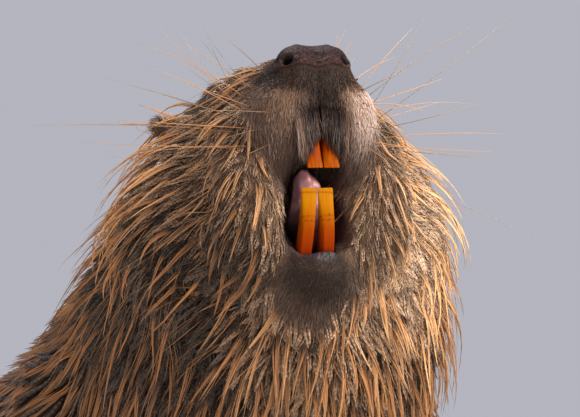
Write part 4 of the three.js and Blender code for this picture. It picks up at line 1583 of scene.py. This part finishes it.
class GrowUnderfur(BuildStep):
    """Crimped locks of underfur on head, neck, trunk and legs"""

    bl_idname = "beaver.underfur"
    bl_label = "Underfur"

    # Roots for each square metre of skin, before the locks are spaced out.
    FRONT = 1.8e5
    WOOL = 0.95e5
    BODY = 1.6e4
    LEGS = 3.0e4

    def build(self, context):
        settings = settings_of("coat")
        material = underfur_finish(settings)
        self.front(settings, material)
        self.body(settings, material)

    def front(self, settings, material):
        def density(local, shares):
            return self.FRONT * long_share(local, shares)

        draw = np.random.default_rng(settings.seed + 2)
        roots = roots_by(density, settings.seed + 12)
        at_mouth = in_head(roots["points"])[:, 1] < 74
        roots = joined(
            spaced(picked(roots, at_mouth), 5.2 * MM, settings.seed),
            spaced(picked(roots, ~at_mouth), 7.4 * MM, settings.seed),
        )
        local = in_head(roots["points"])
        count = len(local)
        deep = depth_at(roots)
        small = 1 - smooth_step(local[:, 1], 30, 105)
        size = settings.underfur_length * (1 - 0.45 * small) * draw.uniform(0.8, 1.25, count)
        lift = deep * draw.uniform(0.35, 0.8, count) + size * 0.07
        turn = draw.normal(size=count) * 0.3 + 0.5 * ripple(roots["points"], 9 * MM, 21)
        grow(
            "underfur_front", roots, trained(roots, size, lift, 0.6, 5, turn), draw, material,
            strands=4, spread=2.0 * MM * (1 - 0.35 * small), gather=0.9, bunch_power=2.0,
            radius=1.05 * MM * (1 - 0.55 * small), shortest=0.7, rings=7, flat=0.6, crimp=0.28 * MM,
            root_sink=0.5 * MM, alike=0.75,
        )
        self.wool(settings, material)

    def wool(self, settings, material):
        """Short single strands that fill in between the locks."""
        def density(local, shares):
            on_face = smooth_step(local[:, 1], 110, 75)
            return self.WOOL * (1 + 2.4 * on_face) * long_share(local, shares)

        draw = np.random.default_rng(settings.seed + 7)
        roots = roots_by(density, settings.seed + 17)
        count = len(roots["points"])
        small = 1 - smooth_step(in_head(roots["points"])[:, 1], 30, 105)
        size = 12.5 * MM * (1 - 0.3 * small) * draw.uniform(0.7, 1.3, count)
        lift = depth_at(roots) * draw.uniform(0.15, 0.75, count) + size * 0.05
        turn = draw.normal(size=count) * 0.4 + 0.4 * ripple(roots["points"], 9 * MM, 21)
        grow(
            "wool", roots, trained(roots, size, lift, 0.6, 4, turn), draw, material, darker=0.4,
            spread=0.3 * MM, gather=0.5, radius=(0.48 - 0.22 * small) * MM, shortest=0.8, rings=4,
            crimp=0.18 * MM,
        )

    def body(self, settings, material):
        def density(local, shares):
            return self.BODY * smooth_step(local[:, 1], 185, 225) + self.LEGS * shares["leg"]

        draw = np.random.default_rng(settings.seed + 3)
        roots = spaced(roots_by(density, settings.seed + 13), 7.5 * MM, settings.seed)
        count = len(roots["points"])
        deep = depth_at(roots)
        size = (12 * MM + deep) * draw.uniform(0.8, 1.25, count)
        lift = deep * draw.uniform(0.35, 0.7, count)
        curves = trained(roots, size, lift, 0.7, 4, draw.normal(size=count) * 0.2)
        grow(
            "underfur_body", roots, curves, draw, material, spread=2.0 * MM, gather=0.7, radius=2.2 * MM,
            shortest=0.8, rings=4, flat=0.45, root_sink=1.2 * MM,
        )


class GrowGuardHair(BuildStep):
    """Long wet guard hair in pointed bunches"""

    bl_idname = "beaver.guard_hair"
    bl_label = "Guard hair"

    # Roots for each square metre of skin, before the bunches are spaced out.
    FRONT_LEAST = 0.4e4
    FRONT_MORE = 3.6e4
    EARS = 8e4
    STRAY = 1.3e4
    BODY = 2.6e4
    LEGS = 3.0e4

    def build(self, context):
        settings = settings_of("coat")
        material = guard_finish(settings)
        self.front(settings, material)
        self.body(settings, material)

    def front(self, settings, material):
        def density(local, shares):
            patchy = 0.5 + 0.5 * ripple(hide().centres, 30 * MM, 31)
            clear = smooth_step(blob(local, (0, 50, -62), (46, 60, 60)), 0.4, 0.15)
            clear = clear * (1 - 0.85 * soaked_share(local))
            front = (self.FRONT_LEAST + self.FRONT_MORE * patchy) * long_share(local, shares) * clear
            return front + self.EARS * shares["ear"]

        draw = np.random.default_rng(settings.seed + 4)
        roots = spaced(roots_by(density, settings.seed + 14), 10.0 * MM, settings.seed)
        local = in_head(roots["points"])
        count = len(local)
        size = settings.guard_length * (0.45 + 0.55 * smooth_step(local[:, 1], 35, 105))
        size = size * draw.uniform(0.6, 1.2, count)
        ear = clipped(roots["shares"]["ear"])
        size = size * (1 - 0.35 * blob(local, (0, 80, 30), (60, 60, 30))) * (1 - 0.62 * ear)
        temple = blob(np.abs(local), (44, 96, 22), (46, 66, 48))
        lift = depth_at(roots) * 0.95 + size * draw.uniform(0.01, 0.18, count)
        lift = lift + temple * draw.uniform(0, 12, count) * MM
        turn = draw.normal(size=count) * 0.10
        curves = trained(roots, size, lift, 0.24 * (1 - ear), 7, turn, rising=0.6)
        wide = draw.uniform(0.7, 1.6, count) * (1 - 0.3 * ear)
        grow(
            "guard_hair_front", roots, curves, draw, material,
            strands=7, spread=2.1 * MM * wide, gather=0.99, bunch_power=0.5, radius=0.33 * MM,
            shortest=0.72, rings=7, flat=0.8, root_sink=0.5 * MM, fray=0.2 * MM,
        )
        self.stray(settings, material)

    def stray(self, settings, material):
        """Single hairs that lie across the bunches."""
        def density(local, shares):
            return self.STRAY * long_share(local, shares)

        draw = np.random.default_rng(settings.seed + 6)
        roots = roots_by(density, settings.seed + 16)
        local = in_head(roots["points"])
        count = len(local)
        size = settings.guard_length * (0.3 + 0.5 * smooth_step(local[:, 1], 40, 110))
        size = size * draw.uniform(0.6, 1.2, count)
        lift = depth_at(roots) * 0.95 + size * draw.uniform(0.03, 0.2, count)
        curves = trained(roots, size, lift, 0.5, 6, draw.normal(size=count) * 0.3)
        grow(
            "stray_hair", roots, curves, draw, material, halved=False,
            spread=0.3 * MM, gather=0.5, radius=0.21 * MM, shortest=0.8, rings=6,
        )

    def body(self, settings, material):
        def density(local, shares):
            return self.BODY * smooth_step(local[:, 1], 185, 225) + self.LEGS * shares["leg"]

        draw = np.random.default_rng(settings.seed + 5)
        roots = spaced(roots_by(density, settings.seed + 15), 11.5 * MM, settings.seed)
        count = len(roots["points"])
        legs = clipped(roots["shares"]["leg"] + roots["shares"]["rump"])
        size = (42 - 25 * legs) * MM * draw.uniform(0.75, 1.2, count)
        lift = depth_at(roots) * 0.7 + size * draw.uniform(0.0, 0.05, count)
        curves = trained(roots, size, lift, 0.85 - 0.45 * legs, 5, draw.normal(size=count) * 0.14)
        grow(
            "guard_hair_body", roots, curves, draw, material, strands=4, spread=3.8 * MM, gather=0.9,
            radius=0.75 * MM, shortest=0.7, rings=4, root_sink=1.0 * MM, fray=0.8 * MM,
        )


class GrowWhiskers(BuildStep):
    """Long stiff whiskers in rows on each pad, and a few over each eye"""

    bl_idname = "beaver.whiskers"
    bl_label = "Whiskers"

    # For each row on a pad, from the top: how steeply its whiskers rise, in degrees.
    ROWS = (44, 24, 8, -6, -24)
    COLUMNS = 4
    OVER_EYE = 5

    def build(self, context):
        settings = settings_of("coat")
        draw = np.random.default_rng(settings.seed + 8)
        starts = []
        sights = []
        sizes = []
        for side in (1, -1):
            for row, rise in enumerate(self.ROWS):
                for column in range(self.COLUMNS):
                    at = (side * (17 + 3.2 * column), 17 + 6.5 * column, -6 - 7.5 * row - 1.5 * column)
                    starts.append(np.array(at) + draw.normal(size=3))
                    angle = math.radians(rise + draw.uniform(-9, 9))
                    sweep = draw.uniform(0.12, 0.5)
                    sights.append((side * math.cos(angle), sweep, math.sin(angle)))
                    sizes.append((33 + 16 * column) * draw.uniform(0.75, 1.35))
            for number in range(self.OVER_EYE):
                starts.append(np.array((side * (24 + 2 * number), 60 + 3 * number, 32)))
                angle = math.radians(draw.uniform(35, 75))
                sights.append((side * math.cos(angle), 0.25, math.sin(angle)))
                sizes.append(draw.uniform(22, 44))
        sights = unit(np.array(sights))
        sizes = np.array(sizes) * MM
        skin = hide()
        base, normal, face = nearest_on(skin.tree, from_head(np.array(starts)))
        # None reaches more than 16 mm over the top of the solids.
        steep = sights[:, 2] > 0.05
        room = CAD_BOX[1].z + 16 * MM - base[:, 2]
        sizes = np.minimum(sizes, np.where(steep, room / np.maximum(sights[:, 2], 0.05), 1))
        share = np.linspace(0, 1, 10)[None, :, None]
        bend = draw.normal(size=base.shape) * 0.07 + np.array([0, 0.03, -0.05])
        run = sights[:, None, :] * share + bend[:, None, :] * share**2
        path = base[:, None, :] + sizes[:, None, None] * run
        normals = np.broadcast_to(normal[:, None, :], path.shape)
        hairs = hairs_along(path, normals, draw, radius=0.24 * MM, rings=10, flat=1.0)
        roots = {"unwrap": skin.unwrap[skin.loops[face]].mean(axis=1)}
        coat_piece("whiskers", hairs, roots, {}, whisker_finish(settings))
        self.follicles(base + normal * 1.3 * MM, draw, settings.deep)

    @staticmethod
    def follicles(places, draw, dark):
        """Small dark knobs in the fur at the whiskers' roots, and as many again between them."""
        made = bmesh.new()
        between_rows = places + draw.normal(size=places.shape) * 2.5 * MM
        for place in np.concatenate([places, nearest_on(hide().tree, between_rows)[0]]):
            there = Matrix.Translation(place)
            size = draw.uniform(0.4, 0.65) * MM
            bmesh.ops.create_icosphere(made, subdivisions=1, radius=size, matrix=there)
        piece = add_object(to_mesh(made, "follicles"), "follicles")
        material = Finish("follicle", roughness=0.4).set(Base_Color=dark)
        finish_piece(piece, material)


class MakeTeeth(BuildStep):
    """Four incisors in orange enamel and the tongue behind them"""

    bl_idname = "beaver.teeth"
    bl_label = "Teeth and tongue"

    def build(self, context):
        settings = settings_of("mouth")
        for jaw, finish in (("upper", upper_enamel(settings)), ("lower", lower_enamel(settings))):
            for side in SIDES:
                self.incisor(f"{jaw}_incisor_{side}", finish)
        self.tongue(settings)

    @staticmethod
    def incisor(node, material):
        made = merged_copy([node])
        limits = {"angle_face_threshold": math.radians(25), "angle_shape_threshold": math.radians(60)}
        bmesh.ops.join_triangles(made, faces=made.faces, **limits)
        crease = made.edges.layers.float.new("crease_edge")
        for edge in made.edges:
            if len(edge.link_faces) == 2 and edge.calc_face_angle(0) > math.radians(48):
                edge[crease] = 0.85
        piece = add_object(to_mesh(made, node + "_enamel"), node + "_enamel")
        subdivided(piece, 3)
        finish_piece(piece, material, [node])

    @staticmethod
    def tongue(settings):
        piece = add_object(to_mesh(merged_copy(["tongue"]), "tongue_flesh"), "tongue_flesh")
        remeshed(piece, 1.1 * MM)
        mesh = piece.data
        points = points_of(mesh)
        points = relaxed(points, edges_of(mesh), np.ones(len(points)), 12)
        set_points(mesh, points)
        normals = normals_of(mesh)
        off_middle = np.abs(in_head(points)[:, 0] - 0.6)
        groove = smooth_step(off_middle, 2.4, 0.2) * smooth_step(normals @ HEAD_AXES[:, 2], 0.1, 0.6)
        front = smooth_step(off_middle, 2.0, 0.2) * smooth_step(-normals @ HEAD_AXES[:, 1], 0.2, 0.7)
        points = points - normals * (np.maximum(groove, 0.7 * front) * 1.1 * MM)[:, None]
        set_points(mesh, points)
        finish_piece(piece, tongue_finish(settings), ["tongue"])


class MakeEyes(BuildStep):
    """Dark wet eyes with a clear bulge in front"""

    bl_idname = "beaver.eyes"
    bl_label = "Eyes"

    def build(self, context):
        material = eye_finish(settings_of("eye"))
        for name, side in zip(SIDES, (1, -1)):
            low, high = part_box(f"eye_{name}")
            middle = (low + high) / 2
            radius = (high - low).x / 2
            made = bmesh.new()
            bmesh.ops.create_uvsphere(made, u_segments=48, v_segments=32, radius=radius)
            look = Vector(HEAD_AXES @ sight_of(side))
            for vertex in made.verts:
                facing = max(vertex.co.normalized().dot(look), 0)
                vertex.co += look * radius * 0.05 * smooth_step(facing, 0.75, 1.0)
            bmesh.ops.translate(made, verts=made.verts, vec=middle)
            piece = add_object(to_mesh(made, f"eyeball_{name}"), f"eyeball_{name}")
            spoke = unit(points_of(piece.data) - np.array(middle))
            store(piece.data, "facing", spoke @ np.array(look))
            finish_piece(piece, material, [f"eye_{name}"])


class MakeClaws(BuildStep):
    """Curved dark claws, one for each toe"""

    bl_idname = "beaver.claws"
    bl_label = "Claws"

    def build(self, context):
        material = claw_finish(settings_of("claw"))
        for foot in ("fore", "hind"):
            for side in SIDES:
                nodes = [f"{foot}claw_{side}_{number}" for number in range(1, 6)]
                name = f"{foot}foot_claws_{side}"
                piece = add_object(to_mesh(merged_copy(nodes, 0.25 * MM), name), name)
                subdivided(piece, 2)
                finish_piece(piece, material, nodes)


# ---------------------------------------------------------------- panel and run


class BeaverPanel(bpy.types.Panel):
    """Lists the building steps in the sidebar"""

    bl_idname = "VIEW3D_PT_beaver"
    bl_label = "Beaver"
    bl_space_type = "VIEW_3D"
    bl_region_type = "UI"
    bl_category = "Beaver"

    def draw(self, context):
        for step in STEPS:
            self.layout.operator(step.bl_idname)
        for kind in SETTINGS:
            box = self.layout.box()
            group = settings_of(kind)
            for name in group.__annotations__:
                box.prop(group, name)


SETTINGS = {
    "skin": SkinSettings, "coat": CoatSettings, "mouth": MouthSettings,
    "eye": EyeSettings, "claw": ClawSettings, "stage": StageSettings,
}
STEPS = (
    MakeSkin, MakeEyes, MakeTeeth, MakeClaws, GrowMuzzleFur, GrowUnderfur, GrowGuardHair,
    GrowWhiskers, MakeStage,
)
CLASSES = (*SETTINGS.values(), *STEPS, BeaverPanel)


def register():
    for kind in CLASSES:
        bpy.utils.register_class(kind)
    for name, kind in SETTINGS.items():
        setattr(bpy.types.Scene, "beaver_" + name, PointerProperty(type=kind))


def unregister():
    for name in SETTINGS:
        delattr(bpy.types.Scene, "beaver_" + name)
    for kind in reversed(CLASSES):
        bpy.utils.unregister_class(kind)


def main():
    register()
    for step in STEPS:
        group, name = step.bl_idname.split(".")
        getattr(getattr(bpy.ops, group), name)()


if __name__ == "__main__":
    main()
